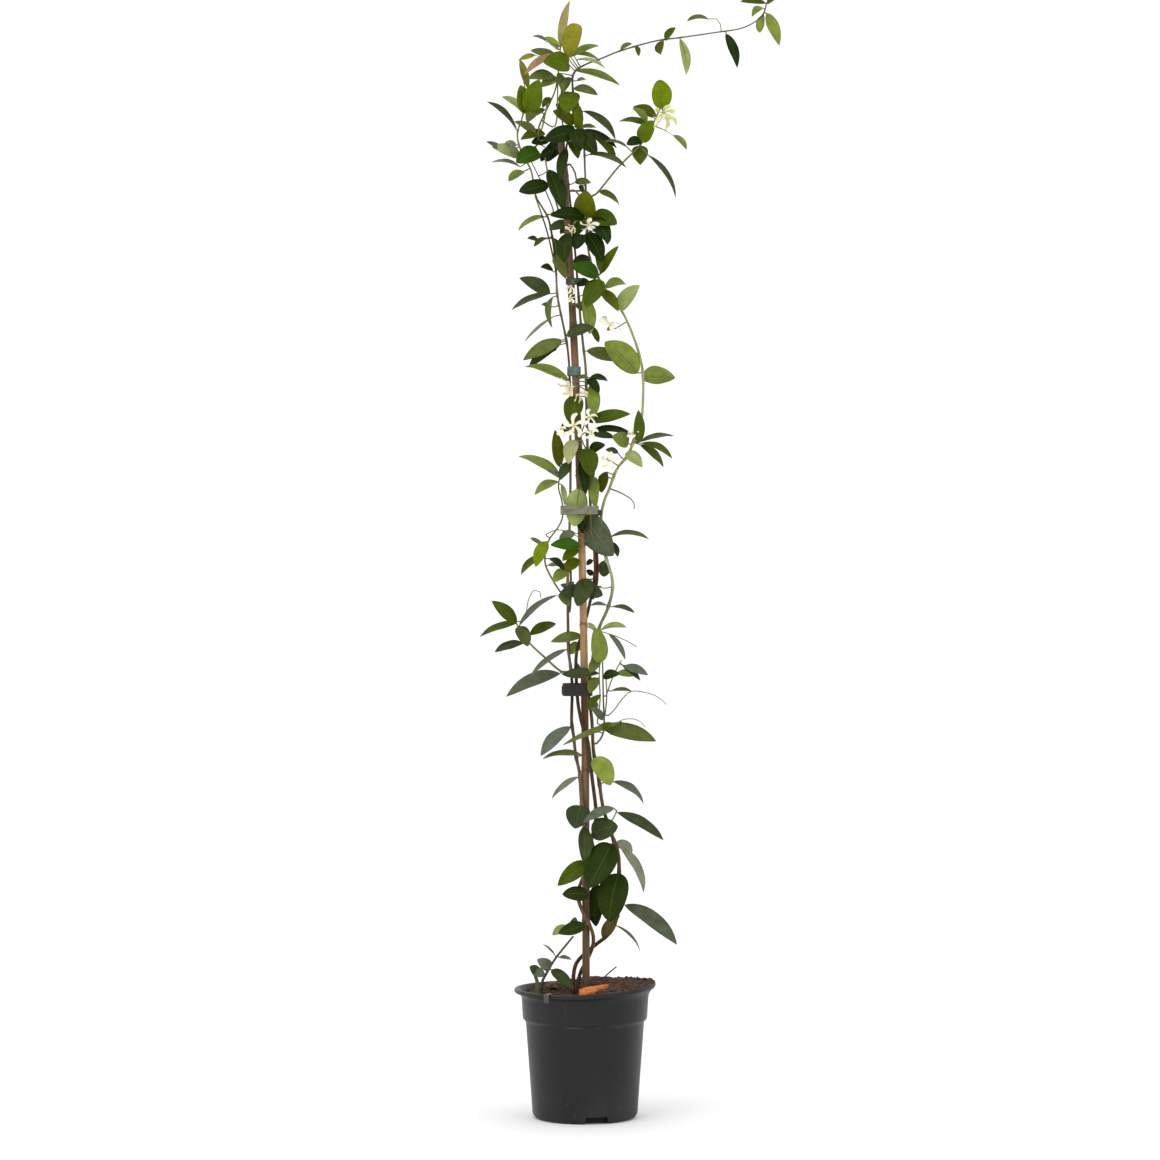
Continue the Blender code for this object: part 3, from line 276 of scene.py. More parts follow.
def makeLeafMaterial():
    look = {"veins": 9.0, "veinSlope": 3.2, "veinWidth": 0.09, "ribWidth": 0.03, "topGloss": 0.4,
            "underGloss": 0.62, "specular": 0.07, "mottle": 0.2, "blotches": 90.0, "grain": 420.0,
            "veinStrength": 0.07, "ribStrength": 0.26, "ribDepth": -0.7, "veinDepth": -0.35,
            "grainRise": 0.25, "relief": 0.4 * mm,
            "tint": colour(70, 100, 40), "paleVein": colour(150, 164, 84)}
    material, tree, shader = startMaterial("jasmineLeaf", look["tint"], look["topGloss"], look["specular"])
    leafMap = addNode(tree, "ShaderNodeUVMap", {"uv_map": "leafMap"}, {}).outputs[0]
    split = addNode(tree, "ShaderNodeSeparateXYZ", {}, {0: leafMap})
    fromRib = mathNode(tree, "ABSOLUTE", mathNode(tree, "SUBTRACT", split.outputs[1], 0.5))
    rib = rangeNode(tree, fromRib, 0.0, look["ribWidth"], 1.0, 0.0)
    along = mathNode(tree, "MULTIPLY", split.outputs[0], look["veins"])
    slant = mathNode(tree, "MULTIPLY", fromRib, look["veinSlope"])
    vein = mathNode(tree, "PINGPONG", mathNode(tree, "SUBTRACT", along, slant), 0.5)
    vein = rangeNode(tree, vein, 0.0, look["veinWidth"], 1.0, 0.0)
    blotch = noiseNode(tree, look["blotches"], 4.0)
    grain = noiseNode(tree, look["grain"], 2.0)
    shade = rangeNode(tree, blotch, 0.3, 0.7, 1 - look["mottle"], 1 + look["mottle"])
    grey = addNode(tree, "ShaderNodeCombineColor", {}, {0: shade, 1: shade, 2: shade}).outputs[0]
    base = multiplied(tree, attributeNode(tree, "leafTone", "Color"), grey)
    pale = mixColours(tree, 0.5, base, look["paleVein"])
    base = mixColours(tree, mathNode(tree, "MULTIPLY", vein, look["veinStrength"]), base, pale)
    base = mixColours(tree, mathNode(tree, "MULTIPLY", rib, look["ribStrength"]), base, pale)
    under = attributeNode(tree, "underside")
    gloss = rangeNode(tree, under, 0.0, 1.0, look["topGloss"], look["underGloss"])
    gloss = mathNode(tree, "ADD", gloss, rangeNode(tree, grain, 0.3, 0.7, -0.05, 0.07))
    relief = mathNode(tree, "ADD", mathNode(tree, "MULTIPLY", rib, look["ribDepth"]),
                      mathNode(tree, "MULTIPLY", vein, look["veinDepth"]))
    relief = mathNode(tree, "ADD", relief, mathNode(tree, "MULTIPLY", grain, look["grainRise"]))
    finishMaterial(tree, shader, base, gloss, relief, 0.5, look["relief"])
    return material


def bandedColour(tree, height, bands):
    # bands of height in mm and colour, blended from one to the next
    base = colour(*bands[0][1:])
    for before, after in zip(bands, bands[1:]):
        share = rangeNode(tree, height, before[0] * mm, after[0] * mm, 0.0, 1.0)
        base = mixColours(tree, share, base, colour(*after[1:]))
    return base


def makeStemMaterial(name, bands, streak):
    look = {"roughness": 0.55, "specular": 0.15, "patches": 70.0, "drift": 0.015, "fibres": 500.0,
            "streaked": 0.75, "relief": 0.4 * mm}
    material, tree, shader = startMaterial(name, colour(*bands[0][1:]), look["roughness"], look["specular"])
    patches = noiseNode(tree, look["patches"], 4.0, (1, 1, 0.35))
    drift = rangeNode(tree, patches, 0.35, 0.65, -look["drift"], look["drift"])
    base = bandedColour(tree, mathNode(tree, "ADD", objectHeight(tree), drift), bands)
    fibres = noiseNode(tree, look["fibres"], 3.0, (1, 1, 0.12))
    streaked = rangeNode(tree, fibres, 0.42, 0.68, 0.0, look["streaked"])
    base = mixColours(tree, streaked, base, multiplied(tree, base, streak))
    gloss = rangeNode(tree, patches, 0.3, 0.7, 0.42, 0.66)
    finishMaterial(tree, shader, base, gloss, fibres, 0.6, look["relief"])
    return material


def makeBambooMaterial():
    look = {"roughness": 0.5, "specular": 0.2, "fibres": 900.0, "blotches": 26.0, "relief": 0.3 * mm,
            "grain": colour(178, 150, 130), "joint": colour(88, 58, 40),
            # the cane's own browns by height, with painted shadow of the leaves in the darker bands
            "bands": ((150, 91, 72, 51), (180, 106, 82, 58), (210, 100, 78, 54), (235, 83, 67, 44),
                      (300, 109, 87, 60), (380, 104, 83, 56), (396, 130, 102, 74), (440, 126, 102, 69),
                      (470, 94, 69, 39), (495, 91, 69, 39), (535, 150, 120, 81), (560, 182, 147, 102),
                      (670, 179, 143, 102), (692, 120, 94, 60), (780, 104, 81, 56), (860, 104, 78, 54),
                      (900, 137, 102, 81), (935, 100, 69, 47), (955, 102, 83, 56), (970, 81, 63, 32),
                      (990, 120, 102, 74), (1010, 141, 109, 83), (1095, 124, 91, 76), (1130, 87, 69, 47),
                      (1165, 113, 96, 74))}
    material, tree, shader = startMaterial("bambooCane", colour(*look["bands"][1][1:]), look["roughness"],
                                           look["specular"])
    fibre = noiseNode(tree, look["fibres"], 3.0, (1, 1, 0.02))
    blotch = noiseNode(tree, look["blotches"], 4.0, (1, 1, 0.3))
    base = bandedColour(tree, objectHeight(tree), look["bands"])
    dark = multiplied(tree, base, look["grain"])
    base = mixColours(tree, rangeNode(tree, fibre, 0.4, 0.66, 0.0, 0.6), base, dark)
    base = mixColours(tree, rangeNode(tree, blotch, 0.5, 0.72, 0.0, 0.55), base, dark)
    base = mixColours(tree, attributeNode(tree, "jointShade"), base, look["joint"])
    gloss = rangeNode(tree, blotch, 0.3, 0.7, 0.38, 0.6)
    finishMaterial(tree, shader, base, gloss, fibre, 0.35, look["relief"])
    return material


def makePotMaterial():
    look = {"dark": colour(20, 19, 20), "worn": colour(29, 28, 29), "dust": colour(54, 51, 48),
            "scuff": colour(62, 61, 60), "scuffStrength": 0.35, "speck": colour(150, 148, 142),
            "roughness": 0.4, "specular": 0.26, "dustHeight": 0.05, "relief": 0.1 * mm,
            "stepHeight": 0.1149, "stepRubbed": (0.0002, 0.0014)}
    material, tree, shader = startMaterial("blackNurseryPlastic", look["dark"], look["roughness"],
                                           look["specular"])
    cloud = noiseNode(tree, 14.0, 4.0)
    drag = noiseNode(tree, 160.0, 3.0, (1, 1, 0.08))
    low = rangeNode(tree, objectHeight(tree), 0.0, look["dustHeight"], 1.0, 0.0)
    dust = mathNode(tree, "MULTIPLY", low, rangeNode(tree, cloud, 0.4, 0.7, 0.1, 0.6))
    base = mixColours(tree, rangeNode(tree, cloud, 0.35, 0.7, 0.0, 1.0), look["dark"], look["worn"])
    base = mixColours(tree, dust, base, look["dust"])
    scuff = mathNode(tree, "MULTIPLY", rangeNode(tree, drag, 0.62, 0.74, 0.0, look["scuffStrength"]),
                     rangeNode(tree, cloud, 0.45, 0.6, 0.0, 1.0))
    base = mixColours(tree, scuff, base, look["scuff"])
    fromStep = mathNode(tree, "ABSOLUTE", mathNode(tree, "SUBTRACT", objectHeight(tree), look["stepHeight"]))
    rubbed = mathNode(tree, "MULTIPLY", rangeNode(tree, fromStep, *look["stepRubbed"], 0.7, 0.0),
                      rangeNode(tree, noiseNode(tree, 55.0, 3.0), 0.5, 0.62, 0.0, 1.0))
    base = mixColours(tree, rubbed, base, look["scuff"])
    specks = rangeNode(tree, noiseNode(tree, 520.0, 1.0), 0.76, 0.8, 0.0, 1.0)
    base = mixColours(tree, mathNode(tree, "MULTIPLY", specks, low), base, look["speck"])
    gloss = mathNode(tree, "ADD", rangeNode(tree, cloud, 0.3, 0.7, 0.34, 0.48),
                     mathNode(tree, "MULTIPLY", dust, 0.3))
    finishMaterial(tree, shader, base, gloss, noiseNode(tree, 2600.0, 2.0), 0.25, look["relief"])
    return material


def makeEarthMaterial(name, dark, light, scale):
    look = {"warm": colour(255, 208, 176), "speck": colour(140, 108, 80), "paintedShade": colour(10, 8, 7),
            "roughness": 0.95, "paintedShadeHeights": (0.012, 0.06), "relief": 2 * mm}
    material, tree, shader = startMaterial(name, dark, look["roughness"])
    lumps = noiseNode(tree, scale, 6.0, (1, 1, 1), 0.7)
    grit = noiseNode(tree, scale * 6, 3.0)
    base = mixColours(tree, rangeNode(tree, lumps, 0.38, 0.66, 0.0, 1.0), dark, light)
    warm = multiplied(tree, base, look["warm"])
    patches = noiseNode(tree, scale * 0.25, 2.0)
    base = mixColours(tree, rangeNode(tree, patches, 0.4, 0.62, 0.0, 0.6), base, warm)
    base = mixColours(tree, rangeNode(tree, grit, 0.62, 0.7, 0.0, 0.5), base, look["speck"])
    # painted shade: the soil turns near black towards the bottom, so the notches at the pot's foot read as
    # shadow
    foot = rangeNode(tree, objectHeight(tree), *look["paintedShadeHeights"], 1.0, 0.0)
    base = mixColours(tree, foot, base, look["paintedShade"])
    relief = mathNode(tree, "ADD", lumps, mathNode(tree, "MULTIPLY", grit, 0.4))
    gloss = rangeNode(tree, lumps, 0.3, 0.7, 0.8, 1.0)
    finishMaterial(tree, shader, base, gloss, relief, 0.9, look["relief"])
    return material


def makePetalMaterial(name, petal, throat):
    look = {"worn": colour(238, 232, 205), "roughness": 0.6, "relief": 0.3 * mm}
    material, tree, shader = startMaterial(name, petal, look["roughness"])
    soft = noiseNode(tree, 120.0, 2.0)
    reach = rangeNode(tree, attributeNode(tree, "fromThroat"), 0.02, 0.45, 0.0, 1.0)
    base = mixColours(tree, reach, throat, petal)
    worn = multiplied(tree, base, look["worn"])
    base = mixColours(tree, rangeNode(tree, soft, 0.4, 0.7, 0.0, 0.6), base, worn)
    gloss = rangeNode(tree, soft, 0.3, 0.7, 0.52, 0.7)
    finishMaterial(tree, shader, base, gloss, noiseNode(tree, 500.0, 3.0), 0.3, look["relief"])
    return material


def makePlasticMaterial(name, tint, roughness):
    look = {"worn": colour(205, 205, 205), "specular": 0.25, "relief": 0.1 * mm}
    material, tree, shader = startMaterial(name, tint, roughness, look["specular"])
    cloud = noiseNode(tree, 120.0, 3.0)
    worn = multiplied(tree, tint, look["worn"])
    base = mixColours(tree, rangeNode(tree, cloud, 0.4, 0.65, 0.0, 1.0), tint, worn)
    gloss = rangeNode(tree, cloud, 0.3, 0.7, roughness - 0.08, roughness + 0.12)
    finishMaterial(tree, shader, base, gloss, noiseNode(tree, 1500.0, 2.0), 0.25, look["relief"])
    return material


leafMaterial = makeLeafMaterial()
barkStreak = colour(170, 150, 140)
rightStemMaterial = makeStemMaterial("rightStem", (
    (200, 89, 63, 49), (400, 94, 72, 51), (520, 102, 94, 51), (560, 130, 135, 78), (610, 124, 128, 85),
    (640, 160, 165, 126), (680, 162, 167, 130), (750, 154, 158, 102), (860, 167, 165, 115),
    (900, 147, 154, 89), (1000, 152, 158, 102), (1100, 117, 111, 67), (1140, 122, 111, 98),
    (1160, 100, 98, 63), (1200, 104, 109, 56)), barkStreak)
leftStemMaterial = makeStemMaterial("leftStem", (
    (160, 60, 44, 35), (185, 102, 76, 51), (412, 108, 91, 72), (474, 91, 76, 60), (505, 49, 35, 21),
    (523, 85, 60, 44), (545, 109, 94, 78), (600, 89, 72, 58), (654, 143, 128, 94), (700, 135, 128, 89),
    (820, 126, 113, 81), (905, 113, 85, 59), (930, 88, 66, 42), (985, 132, 113, 87), (1016, 102, 91, 58),
    (1050, 67, 56, 21), (1077, 63, 51, 18), (1106, 126, 113, 76), (1136, 139, 128, 89),
    (1178, 128, 128, 74), (1226, 124, 126, 63)), barkStreak)
middleStemMaterial = makeStemMaterial("middleStem", (
    (160, 48, 36, 23), (450, 73, 54, 34), (546, 65, 50, 36), (602, 80, 61, 44), (630, 59, 40, 25),
    (650, 97, 50, 32), (676, 91, 52, 34), (690, 110, 104, 52), (722, 106, 100, 50), (780, 87, 78, 42),
    (850, 121, 110, 78), (960, 91, 93, 38), (1190, 86, 84, 36), (1250, 87, 86, 38), (1280, 95, 89, 71),
    (1330, 102, 87, 69)), barkStreak)
shootMaterial = makeStemMaterial("youngShoot", (
    (300, 101, 103, 59), (1100, 112, 116, 65)), colour(200, 190, 170))
basalBark = makeStemMaterial("basalBark", ((150, 82, 74, 68), (200, 96, 90, 74)), barkStreak)
print("materials ready")


# Camera and light

def makeCamera():
    look = {"place": (-0.006, -4.15, 0.644), "lens": 107.3}
    data = bpy.data.cameras.new("camera")
    data.lens = look["lens"]
    data.sensor_width = 36
    data.clip_end = 60
    camera = bpy.data.objects.new("camera", data)
    bpy.context.scene.collection.objects.link(camera)
    camera.location = look["place"]
    camera.rotation_euler = (math.pi / 2, 0, 0)
    bpy.context.scene.camera = camera


def addSoftbox(name, place, target, size, power):
    data = bpy.data.lights.new(name, "AREA")
    data.shape = "RECTANGLE"
    data.size, data.size_y = size
    data.energy = power
    light = bpy.data.objects.new(name, data)
    bpy.context.scene.collection.objects.link(light)
    light.location = place
    light.rotation_euler = (Vector(target) - Vector(place)).to_track_quat("-Z", "Y").to_euler()


def makeStudio():
    look = {"floorTone": (0.97, 0.97, 0.97, 1), "worldTone": (1, 1, 1, 1), "worldStrength": 1.06,
            "floorSize": 60.0, "floorHeight": -0.0004,
            "softboxes": {      # place, target, size and power
                "keyBox": ((-1.8, -2.2, 3.2), (0, 0, 0.7), (2.2, 2.2), 32),
                "fillBox": ((2.4, -2.0, 1.6), (0, 0, 0.6), (1.8, 2.4), 8)}}
    bpy.context.scene.view_settings.view_transform = "Standard"
    world = bpy.data.worlds.new("studio")
    world.use_nodes = True
    world.node_tree.nodes["Background"].inputs["Color"].default_value = look["worldTone"]
    world.node_tree.nodes["Background"].inputs["Strength"].default_value = look["worldStrength"]
    bpy.context.scene.world = world
    deselectAll()
    bpy.ops.mesh.primitive_plane_add(size=look["floorSize"], location=(0, 0, look["floorHeight"]))
    floor = bpy.context.object
    floor.name = "studioFloor"
    floor.data.materials.append(startMaterial("paleFloor", look["floorTone"], 0.8)[0])
    for name, softbox in look["softboxes"].items():
        addSoftbox(name, *softbox)


makeCamera()
makeStudio()
print("camera and studio ready")


# Pot

potLook = {
    "sides": 144, "collarHeight": 142.5, "lipRadius": 85.0, "bendSpan": 12.0,
    "liftOfRim": 3.8,     # the soft rim stands higher on the right and sags at the front and back, mm
    "sagOfRim": 3.2,
    "notchBearings": (-77.0, 43.0, 163.0), "notchReach": 62.0, "notch": (22.0, 27.0, 17.0),
    "notchCorner": 1.4,
    "footPanel": (-137.0, -94.0, 9.0, 62.4, 70.0),  # bearings, height and radii of the recess at the foot
    "outline": (          # radius and height from the base's centre to the lip and down inside, mm
        (0, 0), (56.7, 0), (59.1, 0.5), (61.1, 1.8), (62.7, 4.2), (63.2, 7.0), (70.8, 111.6), (71.2, 114.2),
        (72.0, 115.9), (73.4, 117.1), (74.4, 118.4), (74.8, 120.6), (76.0, 141.5), (76.3, 144.2),
        (76.9, 146.6), (78.2, 148.8), (80.4, 150.9), (82.9, 152.3), (84.4, 153.6), (85.0, 155.4),
        (84.6, 157.2), (83.6, 158.2), (82.2, 158.5), (80.6, 158.3), (79.2, 157.3), (78.0, 155.6),
        (76.2, 151.2), (74.9, 146.6), (74.4, 142.0), (73.0, 120.0), (72.4, 118.4), (68.9, 115.6),
        (67.9, 113.6), (60.2, 8.0), (58.4, 4.4), (55.0, 3.0), (0, 3.0))}


def liftOfRim(x, y, height):
    share = min(1.0, max(0.0, (height - potLook["collarHeight"]) / potLook["bendSpan"]))
    right, out = x / potLook["lipRadius"], y / potLook["lipRadius"]
    return share * (potLook["liftOfRim"] * right - potLook["sagOfRim"] * out * out)


def cutNotches(pot):
    reach = potLook["notchReach"] * mm
    for bearing in potLook["notchBearings"]:
        angle = math.radians(bearing)
        place = (reach * math.cos(angle), reach * math.sin(angle), 0)
        deselectAll()
        bpy.ops.mesh.primitive_cube_add(size=mm, location=place, rotation=(0, 0, angle),
                                        scale=potLook["notch"])
        cutter = bpy.context.object
        settle(cutter)
        applyModifier(cutter, "BEVEL", width=potLook["notchCorner"] * mm, segments=3)
        applyModifier(pot, "BOOLEAN", operation="DIFFERENCE", object=cutter, solver="EXACT")
        bpy.data.objects.remove(cutter)


def cutFootPanel(pot):
    # a bar turned part of the way round the foot takes a thin step off the wall
    start, end, height, inner, outer = potLook["footPanel"]
    corners = [(inner, -2), (inner, height - 1), (inner + 0.4, height), (outer, height), (outer, -2),
               (inner, -2)]
    cutter = drawLines("panelCutter", [[((reach, 0, rise), 1) for reach, rise in corners]])
    closeAndTurnOut(cutter)
    bpy.ops.object.mode_set(mode="EDIT")
    bpy.ops.mesh.select_all(action="SELECT")
    bpy.ops.mesh.edge_face_add()
    bpy.ops.mesh.spin(steps=24, angle=math.radians(end - start), center=(0, 0, 0), axis=(0, 0, 1))
    bpy.ops.object.mode_set(mode="OBJECT")
    closeAndTurnOut(cutter)
    setPoints(cutter, pointsOf(cutter) @ turnAbout(math.radians(start)))
    applyModifier(pot, "BOOLEAN", operation="DIFFERENCE", object=cutter, solver="EXACT")
    bpy.data.objects.remove(cutter)


def makePot():
    pot = spinOutline("nurseryPot", potLook["outline"], potLook["sides"])
    cutNotches(pot)
    cutFootPanel(pot)
    places = pointsOf(pot)
    for place in places:
        place[2] += liftOfRim(*(place / mm)) * mm
    setPoints(pot, places)
    smoothByAngle(pot, 38)
    return pot


dress(makePot(), makePotMaterial(), ["pot"])
print("pot ready")


# Soil: one body with a rough top, then crumbs and fibres on it

soilLook = {
    "level": 144.6, "heap": 14.8, "backRise": 7.0, "edge": 73.8, "rings": 46, "sides": 150,
    "lumps": 4.4, "lumpSize": 0.009, "crumbs": 620, "crumbSize": (0.8, 2.6), "crumbMargin": 2.5,
    "spilled": 170, "spilledBearings": (-48, 98), "spilledReach": (76.0, 83.6), "lipHeight": 158.0,
    "fibres": 420, "fibreLength": (5.0, 18.0), "fibreRadius": (0.14, 0.32), "fibreMargin": 9.0,
    "evenTo": 60.0,       # the rings keep their radius up to here and follow the wall's flare beyond
    "flare": ((142.0, 146.6, 151.2, 155.6, 157.3), (73.8, 74.2, 75.3, 77.0, 78.4)),
    "wall": ((73.4, 140), (72.0, 124), (66.4, 110), (58.6, 9), (53.8, 3.4), (0, 3.4))}


def softStep(value):
    value = min(1.0, max(0.0, value))
    return value * value * (3.0 - 2.0 * value)


def soilHeight(x, y):
    # low on the left and up to the lip on the right
    share = softStep((x + 0.25 * y + 24.0) / 54.0)
    heap = soilLook["heap"] * share + soilLook["backRise"] * softStep(y / 60.0) * (1.0 - share)
    waves = 0.9 * math.sin(x * 0.21 + 1.0) * math.cos(y * 0.24) + 0.5 * math.sin(x * 0.47 + y * 0.4)
    return soilLook["level"] + heap + waves


def reachToWall(x, y, height):
    # the outer rings of the soil follow the wall of the pot, which widens to the lip
    radius = math.hypot(x, y)
    even = soilLook["evenTo"]
    if radius < even:
        return 1.0
    wall = np.interp(height - liftOfRim(x, y, height), *soilLook["flare"])
    return (even + (radius - even) * (wall - even) / (soilLook["edge"] - even)) / radius


def makeSoilBed():
    rings, level = soilLook["rings"], soilLook["level"]
    topLine = [(soilLook["edge"] * step / rings, level) for step in range(rings + 1)]
    bed = spinOutline("soilBed", topLine + list(soilLook["wall"]), soilLook["sides"])
    places = pointsOf(bed)
    onTop = [index for index, place in enumerate(places) if place[2] > (level - 1) * mm]
    for index in onTop:
        x, y, _ = places[index] / mm
        height = soilHeight(x, y)
        places[index] = np.array([x, y, 0]) * reachToWall(x, y, height) * mm + np.array([0, 0, height * mm])
    setPoints(bed, places)
    bed.vertex_groups.new(name="top").add(onTop, 1.0, "REPLACE")
    lumps = bpy.data.textures.new("soilLumps", "CLOUDS")
    lumps.noise_scale = soilLook["lumpSize"]
    lumps.noise_depth = 3
    applyModifier(bed, "DISPLACE", texture=lumps, strength=soilLook["lumps"] * mm, mid_level=0.5,
                  direction="Z", vertex_group="top", texture_coords="LOCAL")
    bed.vertex_groups.clear()
    smoothByAngle(bed, 50)
    return bed


def dropOnSoil(draw, margin):
    radius = (soilLook["edge"] - margin) * math.sqrt(draw.random())
    angle = draw.uniform(0, math.tau)
    x = radius * math.cos(angle)
    y = radius * math.sin(angle)
    return x, y, soilHeight(x, y)


def dropOnLip(draw):
    # some soil lies on the lip at the right and the back
    bearing = math.radians(draw.uniform(*soilLook["spilledBearings"]))
    radius = draw.uniform(*soilLook["spilledReach"])
    x = radius * math.cos(bearing)
    y = radius * math.sin(bearing)
    return x, y, soilLook["lipHeight"] + liftOfRim(x, y, soilLook["lipHeight"])


def makeCrumbs():
    draw = random.Random(17)
    masters = []
    for _ in range(6):
        deselectAll()
        bpy.ops.mesh.primitive_ico_sphere_add(subdivisions=1, radius=1.0)
        master = bpy.context.object
        squash = [draw.uniform(0.55, 1.3), draw.uniform(0.5, 1.0), draw.uniform(0.45, 0.9)]
        places = pointsOf(master) * np.array(squash)
        for place in places:
            place *= draw.uniform(0.75, 1.25)
        setPoints(master, places)
        masters.append(master)
    crumbs = []
    for number in range(soilLook["crumbs"]):
        master = masters[number % len(masters)]
        turning = turnAbout(draw.uniform(0, math.tau))
        size = draw.uniform(*soilLook["crumbSize"])
        x, y, z = dropOnSoil(draw, soilLook["crumbMargin"])
        if number < soilLook["spilled"]:
            x, y, z = dropOnLip(draw)
        centre = np.array([x, y, z + size * 0.3])
        crumbs.append(copyOf(master, (pointsOf(master) @ turning * size + centre) * mm))
    for master in masters:
        bpy.data.objects.remove(master)
    return joinAll(crumbs, "soilCrumbs")


def makeFibres():
    draw = random.Random(41)
    strands = []
    for _ in range(soilLook["fibres"]):
        x, y, z = dropOnSoil(draw, soilLook["fibreMargin"])
        length = draw.uniform(*soilLook["fibreLength"])
        turn = draw.uniform(0, math.tau)
        bend = draw.uniform(-1.2, 1.2)
        rise = draw.uniform(0.2, 2.4)
        strand = []
        for share in (0, 1 / 3, 2 / 3, 1):
            heading = turn + bend * share
            px = x + math.cos(heading) * length * (share - 0.5)
            py = y + math.sin(heading) * length * (share - 0.5)
            pz = max(soilHeight(px, py), z) + rise * math.sin(math.pi * share) + 0.2
            strand.append(((px, py, pz), draw.uniform(*soilLook["fibreRadius"])))
        strands.append(strand)
    return makeTubes("soilFibres", strands, 0)


dress(makeSoilBed(), makeEarthMaterial("pottingSoil", colour(24, 18, 15), colour(94, 70, 54), 260),
      ["potting_soil"])
dress(makeCrumbs(), makeEarthMaterial("soilCrumb", colour(30, 22, 18), colour(116, 88, 66), 420))
dress(makeFibres(), makeEarthMaterial("soilFibre", colour(84, 58, 40), colour(150, 112, 78), 500))
print("soil ready")


# Bark chips

chipLooks = {
    "orangeBarkChip": {"node": "bark_chip_orange", "slot": "orange_bark", "seed": 3, "turn": 8.0, "rise": 5.5,
                       "tilt": 6.0, "light": colour(240, 158, 74), "dark": colour(184, 104, 46)},
    "greyBarkChip": {"node": "bark_chip_grey", "slot": "grey_bark", "seed": 5, "turn": 25.0, "rise": 0.0,
                     "tilt": 0.0, "light": colour(142, 130, 112), "dark": colour(94, 86, 72)}}


def makeChip(name, look):
    low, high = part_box(look["node"])
    middle = (low + high) / 2
    size = high - low
    deselectAll()
    bpy.ops.mesh.primitive_cube_add(size=1, location=(0, 0, 0))
    chip = bpy.context.object
    chip.name = name
    bpy.ops.object.mode_set(mode="EDIT")
    bpy.ops.mesh.select_all(action="SELECT")
    bpy.ops.mesh.subdivide(number_cuts=9, smoothness=0)
    bpy.ops.object.mode_set(mode="OBJECT")
    places = pointsOf(chip)
    turn = math.radians(look["turn"])
    draw = random.Random(look["seed"])
    phases = [draw.uniform(0, math.tau) for _ in range(5)]
    for place in places:
        x, y, z = place
        taper = 1 - 1.2 * abs(x) ** 1.5 - 0.1 * math.sin(9 * x + phases[0])
        ridge = 0.07 * math.sin(26 * y + 3 * math.sin(4 * x + phases[1])) * (1 if z > 0 else 0.3)
        chipped = 0.05 * math.sin(31 * x + phases[2]) * math.cos(23 * y + phases[3])
        lengthwise = x * size.x * 0.98
        sideways = (y * taper + 0.04 * math.sin(14 * x + phases[4])) * size.y * 0.82
        place[0] = lengthwise * math.cos(turn) - sideways * math.sin(turn)
        place[1] = lengthwise * math.sin(turn) + sideways * math.cos(turn)
        place[2] = (z * (0.3 + 0.6 * taper) + ridge + chipped) * size.z * 0.85
        # one end and the far edge stand higher
        place[2] += (x * look["rise"] + (z + 0.5) * y * look["tilt"]) * mm
    setPoints(chip, places + np.array(middle))
    smoothByAngle(chip, 40)
    dress(chip, makeEarthMaterial(name, look["dark"], look["light"], 300), [look["node"]])


for chipName, chipLook in chipLooks.items():
    makeChip(chipName, chipLook)
print("bark chips ready")


# Plant label: one bent strip hooked over the rim

labelLook = {
    "bearing": 238.0, "halfWidth": 3.0, "halfThickness": 0.4, "inner": 73.5, "outer": 85.9, "top": 159.2,
    "rimHeight": 158.5, "foot": 148.2, "drop": 9.8, "bend": 2.2, "tint": colour(80, 82, 81)}


def bendCorners(corners, radius, steps=5):
    # rounds the corners of a flat line
    line = [Vector(corners[0])]
    for before, corner, after in zip(corners, corners[1:], corners[2:]):
        corner = Vector(corner)
        start = corner + (Vector(before) - corner).normalized() * radius
        end = corner + (Vector(after) - corner).normalized() * radius
        for step in range(steps + 1):
            share = step / steps
            line.append((1 - share) ** 2 * start + 2 * share * (1 - share) * corner + share ** 2 * end)
    line.append(Vector(corners[-1]))
    return line


def makeLabel():
    look = labelLook
    angle = math.radians(look["bearing"])
    out = np.array([math.cos(angle), math.sin(angle), 0])
    across = np.array([math.sin(angle), -math.cos(angle), 0])
    reach = potLook["lipRadius"]
    top = look["top"] + liftOfRim(reach * math.cos(angle), reach * math.sin(angle), look["rimHeight"])
    inner = look["inner"] + look["halfThickness"]
    outer = look["outer"] + look["halfThickness"]
    corners = [(inner, look["foot"], 0), (inner, top, 0), (outer, top, 0), (outer, top - look["drop"], 0)]
    line = bendCorners(corners, look["bend"])
    label = drawLines("plantLabel", [[(place, 1) for place in line]], look["halfThickness"] * mm, 2,
                      look["halfWidth"] * mm)
    places = pointsOf(label)
    setPoints(label, places[:, :1] * out + places[:, 1:2] * np.array([0, 0, 1]) + places[:, 2:] * across)
    closeAndTurnOut(label)
    smoothByAngle(label, 40)
    return label


dress(makeLabel(), makePlasticMaterial("labelPlastic", labelLook["tint"], 0.35),
      ["plant_label"])
print("label ready")


# Bamboo cane

caneLook = {
    "foot": 6.0, "top": 1172.0, "radius": 4.5, "x": 1.2, "bow": 29.0, "bowStart": 158.0, "bowLength": 1002.0,
    "bowPower": 2.7, "ringStep": 11.0, "clearOfJoint": 13.0, "wall": 1.3, "hollow": 7.0,
    "joints": (236.0, 415.0, 590.0, 770.0, 948.0, 1112.0),
    "jointOutline": (     # height from the joint and swelling
        (-9, 0.0), (-5, 0.1), (-2.4, 0.35), (-0.9, 0.72), (0, 0.8), (0.8, 0.55), (1.5, 0.05), (2.2, 0.0),
        (3.0, 0.3), (4.0, 0.42), (5.4, 0.25), (8, 0.05), (12, 0.0))}


def caneX(height):
    rise = max(0.0, (height - caneLook["bowStart"]) / caneLook["bowLength"])
    return caneLook["x"] - caneLook["bow"] * rise ** caneLook["bowPower"]


